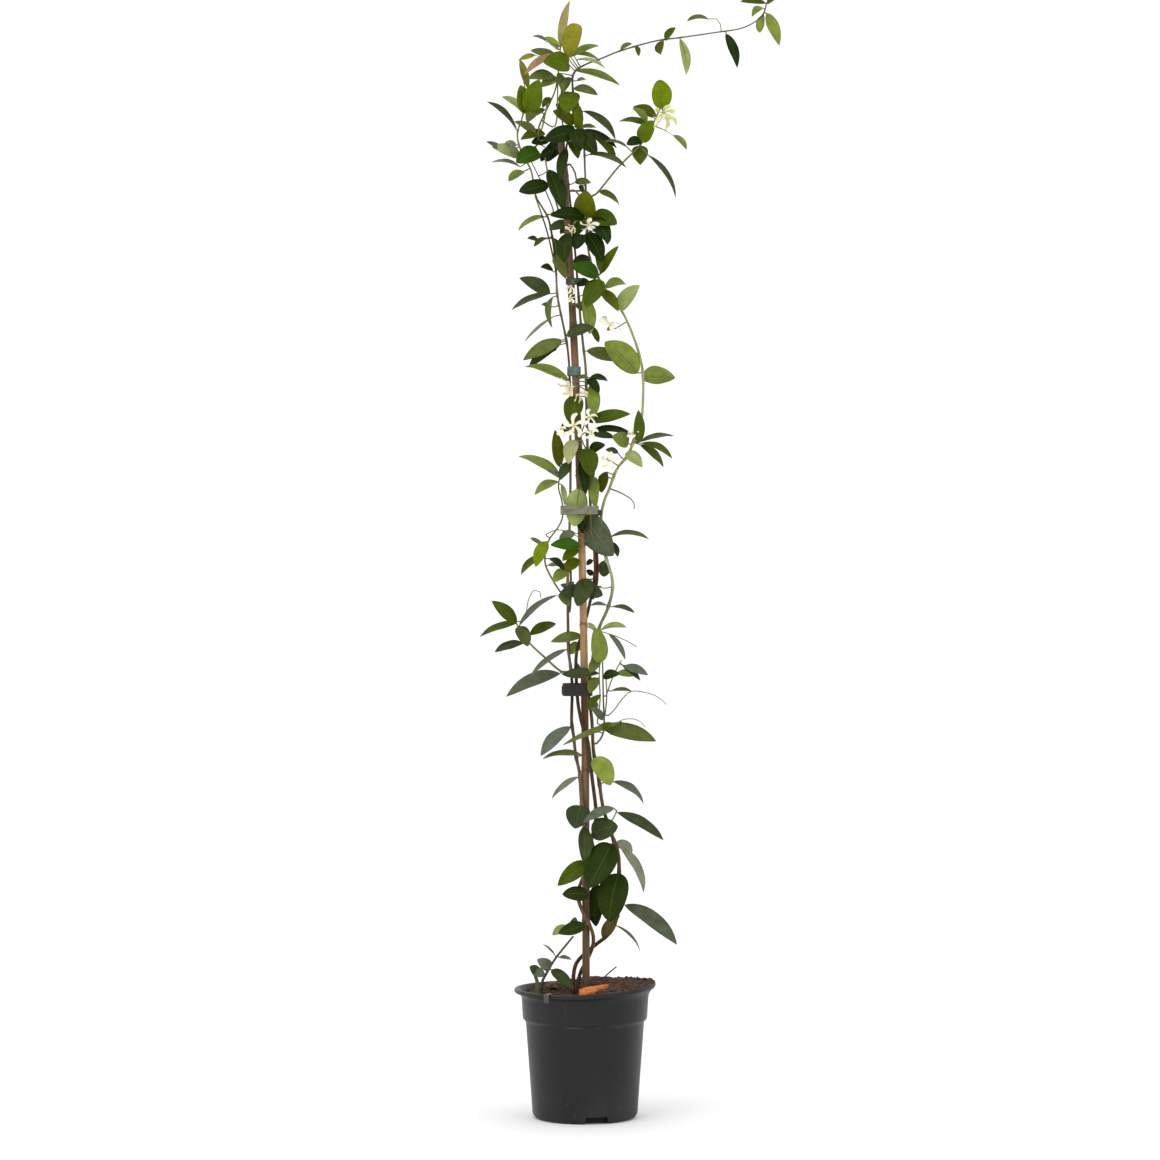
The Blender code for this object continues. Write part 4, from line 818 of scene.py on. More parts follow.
def hollowTop(cane):
    # the cut end shows the hollow of the cane
    openWithFaces(cane, lambda face: face.normal.z > 0.9 and face.center.z > (caneLook["top"] - 3) * mm)
    bpy.ops.mesh.inset(thickness=caneLook["wall"] * mm, depth=0)
    bpy.ops.mesh.extrude_region_move(TRANSFORM_OT_translate={"value": (0, 0, -caneLook["hollow"] * mm)})
    bpy.ops.object.mode_set(mode="OBJECT")


def makeCane():
    heights = {}
    height = caneLook["foot"]
    while height < caneLook["top"]:
        if all(abs(height - joint) > caneLook["clearOfJoint"] for joint in caneLook["joints"]):
            heights[height] = 0.0
        height += caneLook["ringStep"]
    heights[caneLook["top"]] = 0.0
    for joint in caneLook["joints"]:
        for rise, swelling in caneLook["jointOutline"]:
            heights[joint + rise] = swelling
    strand = []
    for height in sorted(heights):
        taper = 1.02 - 0.05 * height / caneLook["top"]
        radius = caneLook["radius"] * taper + 0.08 * math.sin(height * 0.05)
        strand.append(((caneX(height), 0, height), radius + heights[height]))
    cane = makeTubes("bambooCane", [strand], 12)
    hollowTop(cane)
    places = pointsOf(cane)
    fromJoint = np.min([np.abs(places[:, 2] / mm - joint - 1.6) for joint in caneLook["joints"]], axis=0)
    addShare(cane, "jointShade", np.clip(0.8 - fromJoint / 3.5, 0, 0.75))
    smoothByAngle(cane, 50)
    return cane


dress(makeCane(), makeBambooMaterial(), ["bamboo_cane"])
print("cane ready")


# Plastic ties: middle x y, half width, half depth, lower and upper edge. Locks: middle x y z, width, height

tieLooks = {
    "tieLow": {"node": "tie_low", "place": (-9.0, 0.0, 18.0, 14.0, 505.0, 520.0), "tint": colour(36, 35, 28),
               "lock": (-24.5, -6.0, 512.0, 7.0, 11.0), "lockTint": colour(28, 30, 24)},
    "tieMiddle": {"node": "tie_middle", "place": (-6.5, 0.0, 23.0, 17.0, 722.5, 733.0),
                  "tint": colour(124, 124, 102),
                  "lock": (17.0, -9.0, 724.5, 7.0, 7.0), "lockTint": colour(52, 52, 42)},
    "tieHigh": {"node": "tie_high", "place": (-13.2, 0.0, 8.2, 6.8, 889.0, 900.0),
                "tint": colour(92, 112, 106)},
    "tieTop": {"node": "tie_top", "place": (-13.2, 0.6, 10.0, 8.8, 999.0, 1006.0),
               "tint": colour(64, 78, 62)}}
tieShape = {"wall": 0.9, "roundness": 0.62, "edge": 0.25, "lockDepth": 4.0, "lockEdge": 1.5}


def makeLock(name, look):
    # the rounded lock at the end of the strap
    x, y, z, width, height = look["lock"]
    lock = addBlock(name + "Lock", (x, y, z), (width, tieShape["lockDepth"], height))
    applyModifier(lock, "BEVEL", width=tieShape["lockEdge"] * mm, segments=4)
    smoothByAngle(lock, 40)
    dress(lock, makePlasticMaterial(name + "Lock", look["lockTint"], 0.5))


def makeTie(name, look):
    x, y, halfWidth, halfDepth, low, high = look["place"]
    tie = addBlock(name, (x, y, (low + high) / 2), (halfWidth * 2, halfDepth * 2, high - low))
    openWithFaces(tie, lambda face: abs(face.normal.z) > 0.5)
    bpy.ops.mesh.delete(type="ONLY_FACE")
    bpy.ops.mesh.select_mode(type="EDGE")
    bpy.ops.object.mode_set(mode="OBJECT")
    for edge in tie.data.edges:
        first, second = (tie.data.vertices[index].co for index in edge.vertices)
        edge.select = abs(first.z - second.z) > mm
    bpy.ops.object.mode_set(mode="EDIT")
    bpy.ops.mesh.bevel(offset=min(halfWidth, halfDepth) * tieShape["roundness"] * mm, segments=10)
    bpy.ops.mesh.select_mode(type="FACE")
    bpy.ops.object.mode_set(mode="OBJECT")
    applyModifier(tie, "SOLIDIFY", thickness=tieShape["wall"] * mm, offset=-1)
    applyModifier(tie, "BEVEL", width=tieShape["edge"] * mm, segments=2, angle_limit=math.radians(50))
    smoothByAngle(tie, 40)
    dress(tie, makePlasticMaterial(name, look["tint"], 0.45), [look["node"]])


for tieName, tieLook in tieLooks.items():
    makeTie(tieName, tieLook)
    if "lock" in tieLook:
        makeLock(tieName, tieLook)
print("ties ready")


# The climbing stems. Each row of a route is height, bearing and reach about the cane:
# bearing 0 is right, 90 back, 180 left and 270 front. Thickness is the radius at the foot and the top.
# Shoots and twigs are the radius at both ends and points x y z. Leaves are base x y z, tip x y z, width,
# turn and tone, and where a leaf has its own, the arch and how pointed its end is. All in mm.

# Most leaves set behind the stems at the back of the crown take the dark or lower tone as painted shade.
climbers = {
    "right": {
        "thickness": (2.5, 1.1), "bark": rightStemMaterial,
        "route": [
            (112, 160, 16.5), (150, 160, 16.5), (160, 160, 16.5), (178, 138, 18), (190, 105, 20),
            (204, 58, 21), (217, 20, 28), (231, 12, 35), (246, 8, 39), (270, 6, 40), (291, 4, 40),
            (314, 2, 39), (336, 0, 32), (369, -4, 21.5), (402, -8, 16.5), (422, -10, 13.5), (440, -12, 10),
            (470, 10, 8.8), (510, 58, 8.8), (548, 18, 10.5), (584, -5, 18), (608, -8, 29), (630, -8, 35.5),
            (648, -8, 35.5), (674, -4, 28), (700, 0, 24.5), (721, 3, 24.5), (740, 3, 29), (752, 2, 34.5),
            (777, 0, 45), (794, -3, 59), (816, -5, 68.5), (832, -6, 76), (856, -6, 79.5), (890, -6, 81),
            (915, -5, 77.5), (945, -3, 68.5), (970, 0, 57.5), (996, 4, 39.5), (1026, 8, 26), (1055, 5, 23),
            (1080, 0, 24), (1105, -4, 25), (1135, -6, 26), (1158, -6, 27), (1185, -8, 27), (1205, -10, 28)],
        "shoots": [
            (0.9, 0.7, [(33, 2, 356), (38, 0, 367)]),
            (1.3, 0.9, [(14, -4, 448), (21, -6, 458), (23, -7, 474), (22, -8, 500), (21.5, -9, 525),
                (21, -9, 546)]),
            (0.9, 0.7, [(25, -10, 505), (31, -12, 522), (38, -12, 538), (44, -12, 548)]),
            (0.8, 0.4, [(28, -12, 482), (36, -15, 490), (44, -16, 501), (56, -16, 511), (78, -14, 508),
                (90, -12, 502), (97, -11, 495)]),
            (0.6, 0.4, [(34, -14, 470), (45, -18, 477), (58, -19, 478), (67, -18, 474), (72, -17, 468)]),
            (0.6, 0.5, [(36, -8, 577), (50, -10, 571), (62, -10, 564)]),
            (1.0, 0.6, [(42, -3, 749), (54, -5, 742), (58.5, -5, 737), (59, -5, 729)]),
            (0.9, 0.7, [(15, -10, 472), (18, -13, 500), (17, -14, 530), (18, -14, 548)]),
            (0.9, 0.7, [(24, -10, 482), (26, -12, 504), (25, -12, 528)]),
            (1.3, 1.0, [(12.6, -8, 1106), (38, -12, 1136), (56, -14, 1154), (68.4, -14, 1167),
                (79, -14, 1184), (85, -14, 1198), (90, -14, 1208)])],
        "twigs": [
            (1.2, 1.0, [(-20, -8, 1110), (-14, -10, 1111), (-8, -10, 1106), (-3, -9, 1095), (1, -8, 1082)])],
        "leaves": [
            (48, 0, 254, 110, -14, 210, 24, 40, "slate"), (41, -6, 292, 29, -14, 236, 38, 12, "deep"),
            (37, -2, 239, 21, 4, 213, 16, 20, "brown"), (38, 2, 229, 67, 14, 196, 6, 62, "grey"),
            (31, -8, 328, 4, -20, 277, 38, 12, "deep"), (37, 2, 328, 58, 12, 317, 16, 35, "ash"),
            (42, 6, 324, 71, 12, 267, 16, 45, "ash", 0.16), (34, -4, 371, -2, -24, 356, 15, 40, "grey"),
            (39, -4, 365, 94, -12, 334, 17, 42, "lower"), (34, 0, 402, 71, 6, 375, 15, 55, "grey", 0.16),
            (11, -10, 431, 31, -14, 399, 26, 20, "young"), (24, -6, 465, 85, -12, 452, 24, 32, "moss"),
            (14, -10, 462, 32, -18, 474, 9, 35, "mid"), (21, -11, 477, 7, -18, 492, 11, 30, "grey"),
            (31, -12, 511, 56, -20, 511, 9, 60, "fern"), (22, -10, 528, 41, -16, 532, 13, 28, "deep"),
            (38, -13, 532, 63, -6, 531, 11, 30, "light"), (47, -14, 541, 75, -20, 531, 13, 35, "grey"),
            (19, 0, 584, 50, 14, 587, 14, 125, "pale"), (29, -6, 579, 48, -12, 549, 11, 50, "grey"),
            (32, -6, 612, 59, -16, 605, 12, 62, "lower"), (28, -8, 613, 7, -18, 614, 10, 65, "grey"),
            (20, 0, 666, 24, 3, 648, 17, 15, "lower"), (31, -4, 696, 76, -14, 694, 14, 62, "fern"),
            (31, 0, 690, 40, 10, 672, 9, 30, "dark"), (26, 4, 774, 19, 9, 749, 14, 20, "olive"),
            (40, 3, 796, 25, 12, 802, 9, 30, "fern"), (50, -4, 797, 68, -12, 779, 17, 25, "pale"),
            (52, -4, 808, 33, -10, 816, 20, 20, "light"), (6, 11, 497, 15, 24, 487, 12, 40, "lower"),
            (16, -6, 1009, -18, -18, 1019, 21, 14, "vivid"), (64, -12, 808, 64, -16, 847, 15, 15, "mid"),
            (67, -8, 810, 107, -4, 817, 12, 55, "fern"), (67, -8, 808, 104, -20, 790, 13, 50, "mid"),
            (66, -8, 806, 95, 4, 780, 13, 40, "mid"), (63, -8, 892, 24, -14, 929, 31, 162, "light"),
            (69, -8, 888, 108, -13, 886, 25, 155, "light", 0.08, 0.85),
            (24, 6, 995, 50, 14, 1000, 15, 35, "light", 0.2), (41, 0, 969, 65, -12, 996, 22, 25, "pale"),
            (20, 2, 992, 40, -8, 966, 16, 25, "olive"), (18, 4, 1012, 40, -6, 1044, 14, 30, "bright"),
            (0, -8, 1078, -41, -18, 1079, 19, 22, "dark"), (1, -7, 1079, 2, -18, 1108, 29, 20, "olive"),
            (9, 2, 1080, 38, -8, 1070, 25, 20, "mid"), (8, -4, 1078, 29, -12, 1048, 22, 15, "dark"),
            (2, -4, 1060, 20, -10, 1025, 23, 18, "dark"), (16, 0, 1110, 42, 12, 1096, 14, 50, "mid"),
            (52, -12, 1161, 23, -22, 1167, 13, 62, "fern"), (4, -6, 1154, 49, -18, 1137, 15, 52, "fern"),
            (4, 2, 1184, 38, 12, 1148, 15, 35, "mid"), (-2, -6, 1206, 37, -14, 1171, 16, 45, "lower"),
            (106, -14, 1176, 122, -10, 1160, 10, 130, "light"),
            (85, -14, 1198, 58, -2, 1213, 15, 140, "olive"), (78, -14, 1188, 40, -6, 1195, 15, 50, "mid"),
            (68, -13, 1168, 81, -16, 1193, 21, 15, "bright"),
            (66, -14, 1170, 50, -20, 1164, 14, 20, "dark"),
            (66, -12, 1164, 66, -10, 1141, 21, 15, "mid", 0.08, 1.0),
            (76, -14, 1152, 110, -4, 1104, 12, 55, "lower"),
            (90, -14, 1208, 90, -24, 1240, 26, 165, "lime"), (40, 8, 272, 34, 32, 258, 18, 170, "lower"),
            (30, 6, 326, 26, 30, 312, 18, 165, "lower"), (20, 6, 421, 24, 26, 412, 16, 170, "lower"),
            (34, 6, 463, 46, 26, 459, 15, 168, "lower"), (8, 8, 525, 10, 28, 516, 13, 170, "lower"),
            (14, 6, 637, 9, 26, 630, 14, 165, "lower"), (18, 4, 702, 22, 28, 696, 16, 170, "dark"),
            (22, 6, 770, 21, 26, 758, 12, 170, "dark"), (72, 0, 888, 88, 16, 884, 14, 165, "light"),
            (60, 2, 915, 48, 22, 908, 14, 168, "dark"), (2, 6, 1060, 8, 28, 1052, 16, 170, "dark"),
            (0, 4, 1102, 4, 26, 1094, 16, 170, "dark"), (74, -14, 1192, 57, -20, 1207, 12, 30, "light"),
            (-2, -4, 1184, 38, -14, 1160, 12, 40, "dark"), (5, 2, 1003, -9, -6, 996, 13, 25, "dark"),
            (6, -2, 1030, -15, -10, 1024, 13, 25, "dark"), (19, -12, 1003, 1, -20, 970, 25, 18, "mid"),
            (20, -2, 1012, 12, -8, 1042, 13, 30, "mid"), (-4, -6, 1058, -12, -10, 1040, 20, 20, "deep"),
            (24, 0, 1064, 27, -6, 1046, 12, 25, "mid"), (44, -12, 474, -27, -15, 447, 8, 25, "moss"),
            (14, -12, 527, 5, -16, 509, 14, 20, "moss"), (3, -11, 490, 19, -15, 507, 11, 30, "mid"),
            (17, -12, 549, 6, -15, 533, 14, 20, "moss"), (45, -12, 542, 66, -16, 524, 9, 30, "lower"),
            (22, 14, 288, 30, 22, 262, 20, 30, "deep"), (3, 4, 1077, -14, 8, 1058, 15, 20, "mid"),
            (-6, -8, 1117, -3, -9, 1108, 7, 20, "deep"), (13, -12, 583, 3, -12, 593, 7, 25, "pale")]},
    "left": {
        "thickness": (2.4, 0.9), "bark": leftStemMaterial,
        "route": [
            (112, 900, 9.5), (150, 900, 9.5), (160, 898, 9.2), (185, 810, 9), (212, 720, 9),
            (239, 630, 9.2), (266, 540, 9.2), (293, 450, 9), (320, 360, 9), (349, 270, 9), (375, 238, 9),
            (412, 222, 9.5), (435, 195, 12), (458, 186, 14), (474, 182, 16), (505, 181, 15), (523, 180, 15),
            (545, 180, 17), (560, 180, 18.5), (600, 180, 18.5), (630, 180, 18), (654, 179, 17.5),
            (700, 176, 14.5), (760, 172, 11.5), (820, 178, 9.5), (870, 184, 7.8), (905, 186, 7.4),
            (930, 186, 9), (950, 184, 12), (985, 180, 17), (1016, 178, 17), (1050, 178, 18.5),
            (1077, 178, 22), (1094, 178, 30), (1106, 179, 35.5), (1136, 180, 39), (1155, 182, 48),
            (1178, 183, 52), (1200, 184, 44), (1226, 186, 37)],
        "shoots": [
            (1.4, 0.9, [(-28, -4, 534), (-49, -8, 552), (-66, -8, 568), (-79, -6, 586), (-83, -6, 594)]),
            (0.7, 0.5, [(-72, -12, 598), (-68, -16, 619), (-61, -16, 632), (-54, -15, 630),
                (-53, -14, 622)]),
            (1.2, 0.8, [(-28, -9, 628), (-42, -12, 650), (-48, -12, 667), (-44, -11, 690), (-33, -8, 706),
                (-27.5, -5, 717), (-26.5, -4, 728), (-28, -3, 740), (-32, -1, 757), (-28, 0, 777),
                (-28, 0, 790)]),
            (0.7, 0.5, [(-47, -16, 698), (-32, -22, 704), (-15, -25, 699), (1, -24, 690)]),
            (0.9, 0.6, [(-38, 8, 1087), (-47, 9, 1111), (-59, 9, 1136), (-66, 8, 1150)]),
            (1.2, 0.8, [(-58, -4, 1165), (-55, -5, 1188), (-42, -6, 1216), (-35, -5, 1234), (-31, -3, 1262),
                (-29.5, -2, 1284)])],
        "twigs": [
            (1.0, 0.9, [(-34, -2, 1010), (-45, -4, 1060), (-60, -4, 1105)]),
            (1.1, 1.0, [(-32, -4, 1086), (-42, -6, 1120), (-48, -6, 1150)]),
            (1.1, 1.0, [(-52, -6, 1184), (-45, -8, 1215)]),
            (1.0, 0.8, [(-36, -6, 1188), (-33, -8, 1220), (-33, -8, 1250)]),
            (1.5, 1.4, [(-18.5, 1, 606), (-17, 2, 630), (-17, 2, 650), (-18, 1, 668)])],
        "leaves": [
            (0, -11, 231, -32, -18, 222, 17, 22, "deep"), (4, -12, 267, -27, -18, 269, 19, 25, "deep"),
            (3, -13, 306, -33, -18, 279, 22, 20, "mid", 0.08, 0.9),
            (-2, -13, 348, -1, -20, 306, 19, 18, "lower"), (-5, -13, 374, -12, -22, 348, 30, 12, "lower"),
            (-8, -8, 408, -40, 2, 381, 11, 50, "ash"), (-3, -11, 434, -51, -14, 431, 14, 60, "moss"),
            (-18, -2, 468, -53, -12, 434, 20, 40, "grey"), (-30, -6, 532, -94, -14, 505, 20, 32, "slate"),
            (-27, -10, 531, 17, -13, 533, 15, 35, "lower", 0.03),
            (-22, -8, 561, -66, -22, 529, 11, 48, "grey"), (-4, 6, 577, -41, -2, 570, 14, 25, "moss"),
            (-82, -6, 592, -111, -14, 619, 17, 20, "mid"), (-82, -6, 592, -127, 0, 576, 14, 50, "mid"),
            (-79, -8, 589, -34, -24, 627, 12, 50, "grey"), (-80, -8, 588, -68, -14, 565, 18, 20, "fern"),
            (-66, -8, 578, -35, 6, 592, 16, 35, "mid"), (-74, -6, 568, -109, 4, 558, 14, 45, "lower"),
            (-46, -14, 690, -59, -20, 660, 17, 15, "lime"), (-52, -10, 673, -78, 4, 650, 12, 40, "mid"),
            (-48, -10, 684, -66, 2, 695, 6, 30, "grey"), (-42, -14, 670, -25, -26, 655, 12, 40, "dark"),
            (-24, -10, 656, -38, -18, 642, 15, 20, "light"), (-4, -8, 631, -30, -14, 627, 18, 15, "lower"),
            (-20, 7, 664, -28, 18, 654, 13, 140, "light"), (-30, 0, 768, -80, 10, 794, 17, 45, "light"),
            (-31, -2, 780, -36, -4, 824, 16, 20, "olive"), (-32, -2, 762, -60, -16, 746, 14, 38, "light"),
            (-19, -4, 882, -72, -14, 900, 17, 130, "light"), (-28, -2, 932, -74, -12, 907, 18, 20, "moss"),
            (-28, 4, 930, -68, 14, 901, 15, 25, "dark"), (-22, -8, 937, 10, -16, 946, 17, 30, "lower"),
            (-38, -2, 960, -73, 8, 931, 5, 40, "ash"), (-38, -2, 984, -40, -10, 946, 10, 35, "moss", 0.2),
            (-40, -2, 972, -52, -8, 974, 8, 30, "grey"), (-42, -2, 988, -78, -12, 1005, 19, 20, "lower"),
            (-42, 0, 988, -89, 10, 970, 15, 55, "lower"), (-38, 0, 1014, -53, -10, 1018, 12, 45, "deep"),
            (-32, 4, 1022, -37, 12, 1056, 18, 140, "mid"), (-48, 0, 1055, -61, -8, 1043, 9, 35, "mid"),
            (-48, 0, 1080, -80, -10, 1062, 14, 52, "light"),
            (-44, -4, 1136, -26, -12, 1086, 22, 20, "deep"),
            (-44, -2, 1118, -79, -8, 1109, 21, 20, "deep", 0.02),
            (-55, -6, 1157, -82, -14, 1143, 25, 20, "vivid"),
            (-74, 2, 1135, -92, 12, 1125, 14, 130, "light"), (-78, 0, 1140, -112, -6, 1144, 12, 62, "ash"),
            (-98, -4, 1158, -118, -8, 1169, 8, 30, "grey"), (-82, -2, 1151, -111, -6, 1163, 17, 30, "pale"),
            (-82, 0, 1166, -96, -4, 1168, 8, 30, "ash"), (-59, -5, 1179, -84, -14, 1192, 15, 125, "moss"),
            (-82, 0, 1184, -116, -12, 1216, 14, 58, "lower"),
            (-74, 0, 1204, -100, 12, 1227, 14, 125, "pale"),
            (-58, -6, 1207, -69, -14, 1191, 14, 25, "moss"),
            (-71, -2, 1205, -77, -9, 1236, 20, 14, "bright"),
            (-67, -6, 1203, -55, -16, 1241, 26, 10, "bright"),
            (-36, -4, 1247, -68, -14, 1243, 17, 30, "moss"),
            (-33, -4, 1274, -72, -14, 1248, 14, 40, "bronze"),
            (-78, 0, 1268, -68, 4, 1234, 11, 25, "straw", 0.06),
            (-34, 2, 1272, -65, -2, 1279, 15, 35, "moss", 0.03),
            (-32, 0, 1281, -49, 6, 1297, 13, 130, "young"), (-29, -2, 1283, -19, -6, 1338, 12, 20, "blush"),
            (-12, 6, 538, -4, 28, 534, 14, 170, "lower"), (-22, 5, 640, -17, 28, 630, 17, 165, "lower"),
            (-20, 5, 700, -26, 28, 690, 16, 170, "dark"), (-20, 6, 830, -26, 30, 820, 17, 170, "dark"),
            (-38, 5, 926, -52, 26, 918, 15, 168, "dark"), (-34, 5, 1030, -30, 26, 1018, 15, 170, "dark"),
            (-58, 6, 1116, -66, 24, 1112, 12, 165, "dark"), (-68, 4, 1157, -72, 24, 1150, 14, 170, "dark"),
            (-46, -2, 1290, -63, -4, 1296, 5, 30, "grey", 0.2),
            (-60, 0, 1274, -80, -2, 1267, 8, 25, "straw"), (-33, -4, 1246, -53, -10, 1234, 15, 25, "light"),
            (-48, 2, 1180, -77, -4, 1172, 15, 30, "olive"), (-44, 0, 1172, -64, -4, 1168, 14, 25, "dark"),
            (-28, 2, 1169, -48, 6, 1148, 20, 25, "dark"), (-56, 0, 1052, -69, -6, 1053, 8, 35, "lower"),
            (-20, 2, 1072, -43, -4, 1064, 15, 30, "lower"), (-36, 0, 1034, -23, -6, 1005, 16, 20, "moss"),
            (-47, 0, 777, -27, -6, 764, 5, 30, "grey"), (-28, 0, 759, -24, -6, 734, 8, 30, "pale"),
            (-18, -4, 785, -30, -10, 764, 14, 20, "lower"), (-8, -10, 681, -27, -14, 667, 14, 25, "bright"),
            (-8, -4, 669, -25, -8, 654, 16, 25, "olive"), (-30, -6, 628, -19, -12, 613, 13, 20, "moss"),
            (-6, 12, 567, -20, 8, 555, 15, 20, "young"), (-44, 0, 662, -31, -6, 661, 6, 30, "pale"),
            (-78, -2, 1150, -92, -8, 1168, 7, 30, "ash"), (-40, -2, 1222, -51, -6, 1210, 10, 25, "olive"),
            (-48, 2, 1209, -63, 6, 1202, 9, 30, "moss"), (-12, 4, 1076, -30, 2, 1060, 15, 25, "lower"),
            (-38, 2, 1162, -53, -2, 1146, 14, 25, "dark")]},
    "middle": {
        "thickness": (2.6, 0.7), "bark": middleStemMaterial,
        "route": [
            (112, 450, 14.3), (150, 450, 14.3), (160, 450, 14.3), (240, 448, 14.3), (300, 440, 14.2),
            (335, 415, 13.5), (355, 375, 12.5), (369, 352, 12.5), (406, 325, 9.8), (428, 310, 9.2),
            (450, 292, 9.2), (462, 264, 9.2), (484, 228, 9.3), (505, 203, 9.6), (546, 172, 10),
            (576, 110, 9.6), (602, 62, 9.6), (618, 32, 10), (639, 6, 14), (660, 0, 15.5), (679, -4, 15),
            (700, -8, 12), (721, -10, 12), (760, -5, 11.5), (800, -15, 11), (850, -12, 11.5),
            (896, -8, 12.5), (930, -5, 10.5), (960, 5, 9), (1000, 12, 8.3), (1050, 30, 8.2),
            (1094, 48, 8.6), (1130, 60, 9), (1160, 58, 9.5), (1185, 22, 13), (1205, 5, 17), (1225, 0, 19),
            (1250, -3, 21), (1261, -3, 34), (1270, -3, 58), (1279, -3, 82), (1290, -3, 124),
            (1294, -3, 155.5), (1300, -3, 200), (1304, -3, 226.5), (1312.5, -3, 246), (1323, -3, 257),
            (1335, -3, 261)],
        "shoots": [
            (0.9, 0.8, [(0, -12, 803), (-4, -18, 812), (-5, -21, 816)]),
            (0.6, 0.5, [(162, -8, 1310), (158, -8, 1316), (148, -8, 1316)])],
        "twigs": [
            (1.1, 1.0, [(-18, -8, 1142), (-12, -9, 1132), (-10, -9, 1120)]),
            (0.9, 0.8, [(-26, -6, 1186), (-28, -8, 1220), (-29, -8, 1248)]),
            (1.8, 1.6, [(9.5, 1, 622), (14, 2, 640), (15, 2, 660), (13.5, 1, 682), (9.5, 0, 700)])],
        "leaves": [
            (15, 8, 279, 13, 14, 226, 22, 20, "deep"), (8, -10, 341, 39, -16, 350, 28, 14, "lower"),
            (-20, -12, 228, -39, -16, 220, 13, 35, "pale"), (-4, 12, 534, 6, 24, 524, 13, 20, "lower"),
            (4, -2, 834, 54, -10, 843, 18, 30, "mid"), (10, 2, 824, 58, 12, 819, 12, 40, "dark"),
            (13, -14, 586, 17, -16, 545, 22, 15, "light", 0.08, 0.42),
            (4, -8, 645, -9, -18, 613, 24, 14, "lower"), (-1, 8, 722, 33, -3, 673, 38, -25, "slate"),
            (-6, -12, 685, -41, -20, 686, 16, 20, "vivid"), (-12, -10, 700, -31, -12, 694, 12, 30, "grey"),
            (-7, -9, 753, -13, -12, 708, 28, 172, "pale", 0.02),
            (13, -6, 767, 13, -10, 729, 14, 18, "light"), (0, -10, 801, 7, -20, 768, 24, 12, "mid"),
            (-12, -6, 812, -20, -14, 783, 19, 20, "wan"), (6, 2, 799, 24, -4, 806, 14, 20, "deep"),
            (-10, -8, 864, -18, -14, 832, 25, 15, "mid"), (8, -4, 879, 9, -10, 836, 18, 18, "light"),
            (4, -6, 887, -8, -18, 884, 8, 40, "bright"), (6, 0, 887, 28, 10, 884, 11, 40, "deep"),
            (2, 0, 919, 46, 6, 909, 18, 20, "moss", 0.04), (-2, -8, 986, 6, -18, 937, 18, 160, "light"),
            (6, 2, 950, 17, 10, 930, 9, 20, "mid"), (-12, -6, 1121, 7, -8, 1120, 11, 30, "moss"),
            (-10, -8, 1182, -49, -20, 1168, 24, 18, "dark"), (-12, -8, 1181, 14, -20, 1152, 25, 15, "deep"),
            (-14, 4, 1192, -38, -4, 1206, 18, 25, "olive"), (-7, -2, 1213, -7, 4, 1184, 15, 25, "lime"),
            (-4, 4, 1188, 14, 10, 1189, 8, 40, "moss"), (-17, -6, 1229, -21, -16, 1202, 27, 10, "bright"),
            (-13, -4, 1234, 15, -12, 1224, 15, 35, "moss"), (-12, 4, 1256, 42, 12, 1241, 14, 122, "light"),
            (-10, -6, 1268, 24, -16, 1255, 11, 60, "pale"),
            (-19, -6, 1262, -49, -18, 1262, 27, 14, "bright"),
            (-17, 2, 1272, 17, 12, 1289, 12, 40, "light"), (-14, 0, 1275, 20, 14, 1269, 10, 50, "light"),
            (-20, -4, 1270, -10, -12, 1309, 23, 12, "gold", 0.08, 0.34),
            (42, -4, 1279, 56, -12, 1285, 9, 40, "moss"), (60, -6, 1284, 65, 2, 1274, 8, 30, "mid"),
            (96, -7, 1291, 108, -14, 1304, 11, 30, "mid"),
            (94, -7, 1290, 90, 2, 1276, 12, 30, "olive", 0.2),
            (114, -8, 1292, 122, -2, 1251, 14, 140, "pale"),
            (148, -8, 1316, 122, -16, 1312, 12, 50, "moss"),
            (169, -10, 1298, 182, -18, 1256, 15, 30, "dark"),
            (214, -12, 1320, 209, -4, 1301, 12, 30, "young"),
            (218, -13, 1322, 232, -20, 1282, 16, 15, "young"),
            (214, -13, 1328, 199, -22, 1316, 12, 40, "light", 0.2),
            (216, -13, 1334, 186, -8, 1338, 10, 30, "mid"),
            (218, -13, 1334, 229, -20, 1339, 9, 30, "olive"), (-8, 14, 231, -19, 32, 227, 14, 172, "lower"),
            (2, 18, 298, 8, 40, 286, 18, 170, "lower"), (2, 6, 788, 6, 28, 780, 16, 170, "dark"),
            (-6, 6, 978, 0, 28, 970, 16, 168, "dark"), (-26, 8, 1130, -33, 28, 1118, 16, 170, "dark"),
            (-14, 4, 1216, -8, 26, 1208, 15, 165, "dark"), (-13, -8, 1184, -6, -20, 1155, 21, 12, "deep"),
            (-22, -8, 1161, -30, -14, 1121, 14, 18, "deep"), (-10, -2, 1243, 1, -8, 1243, 6, 30, "ash"),
            (-20, -8, 1059, -25, -12, 1024, 20, 18, "deep"),
            (-32, -4, 1252, -26, -10, 1226, 12, 25, "moss"), (4, -6, 885, 17, -12, 868, 13, 20, "dark"),
            (8, 0, 819, 37, -4, 814, 11, 30, "lower"), (-6, -10, 786, 1, -15, 746, 14, 18, "dark"),
            (9, -8, 782, 5, -12, 750, 12, 20, "moss"), (0, -9, 633, 21, -14, 626, 18, 14, "lower"),
            (0, -12, 646, 10, -14, 622, 14, 20, "lower"), (-18, -6, 1170, -8, -12, 1148, 14, 25, "mid"),
            (-12, -8, 722, -2, -6, 700, 12, 30, "dark"), (-18, -8, 1246, -27, -10, 1227, 13, 20, "fern"),
            (-34, 0, 1216, -25, -4, 1200, 10, 25, "moss"), (9, 4, 668, 2, 4, 662, 7, 20, "dark"),
            (9, 4, 650, 2, 4, 656, 8, 20, "dark")]}}

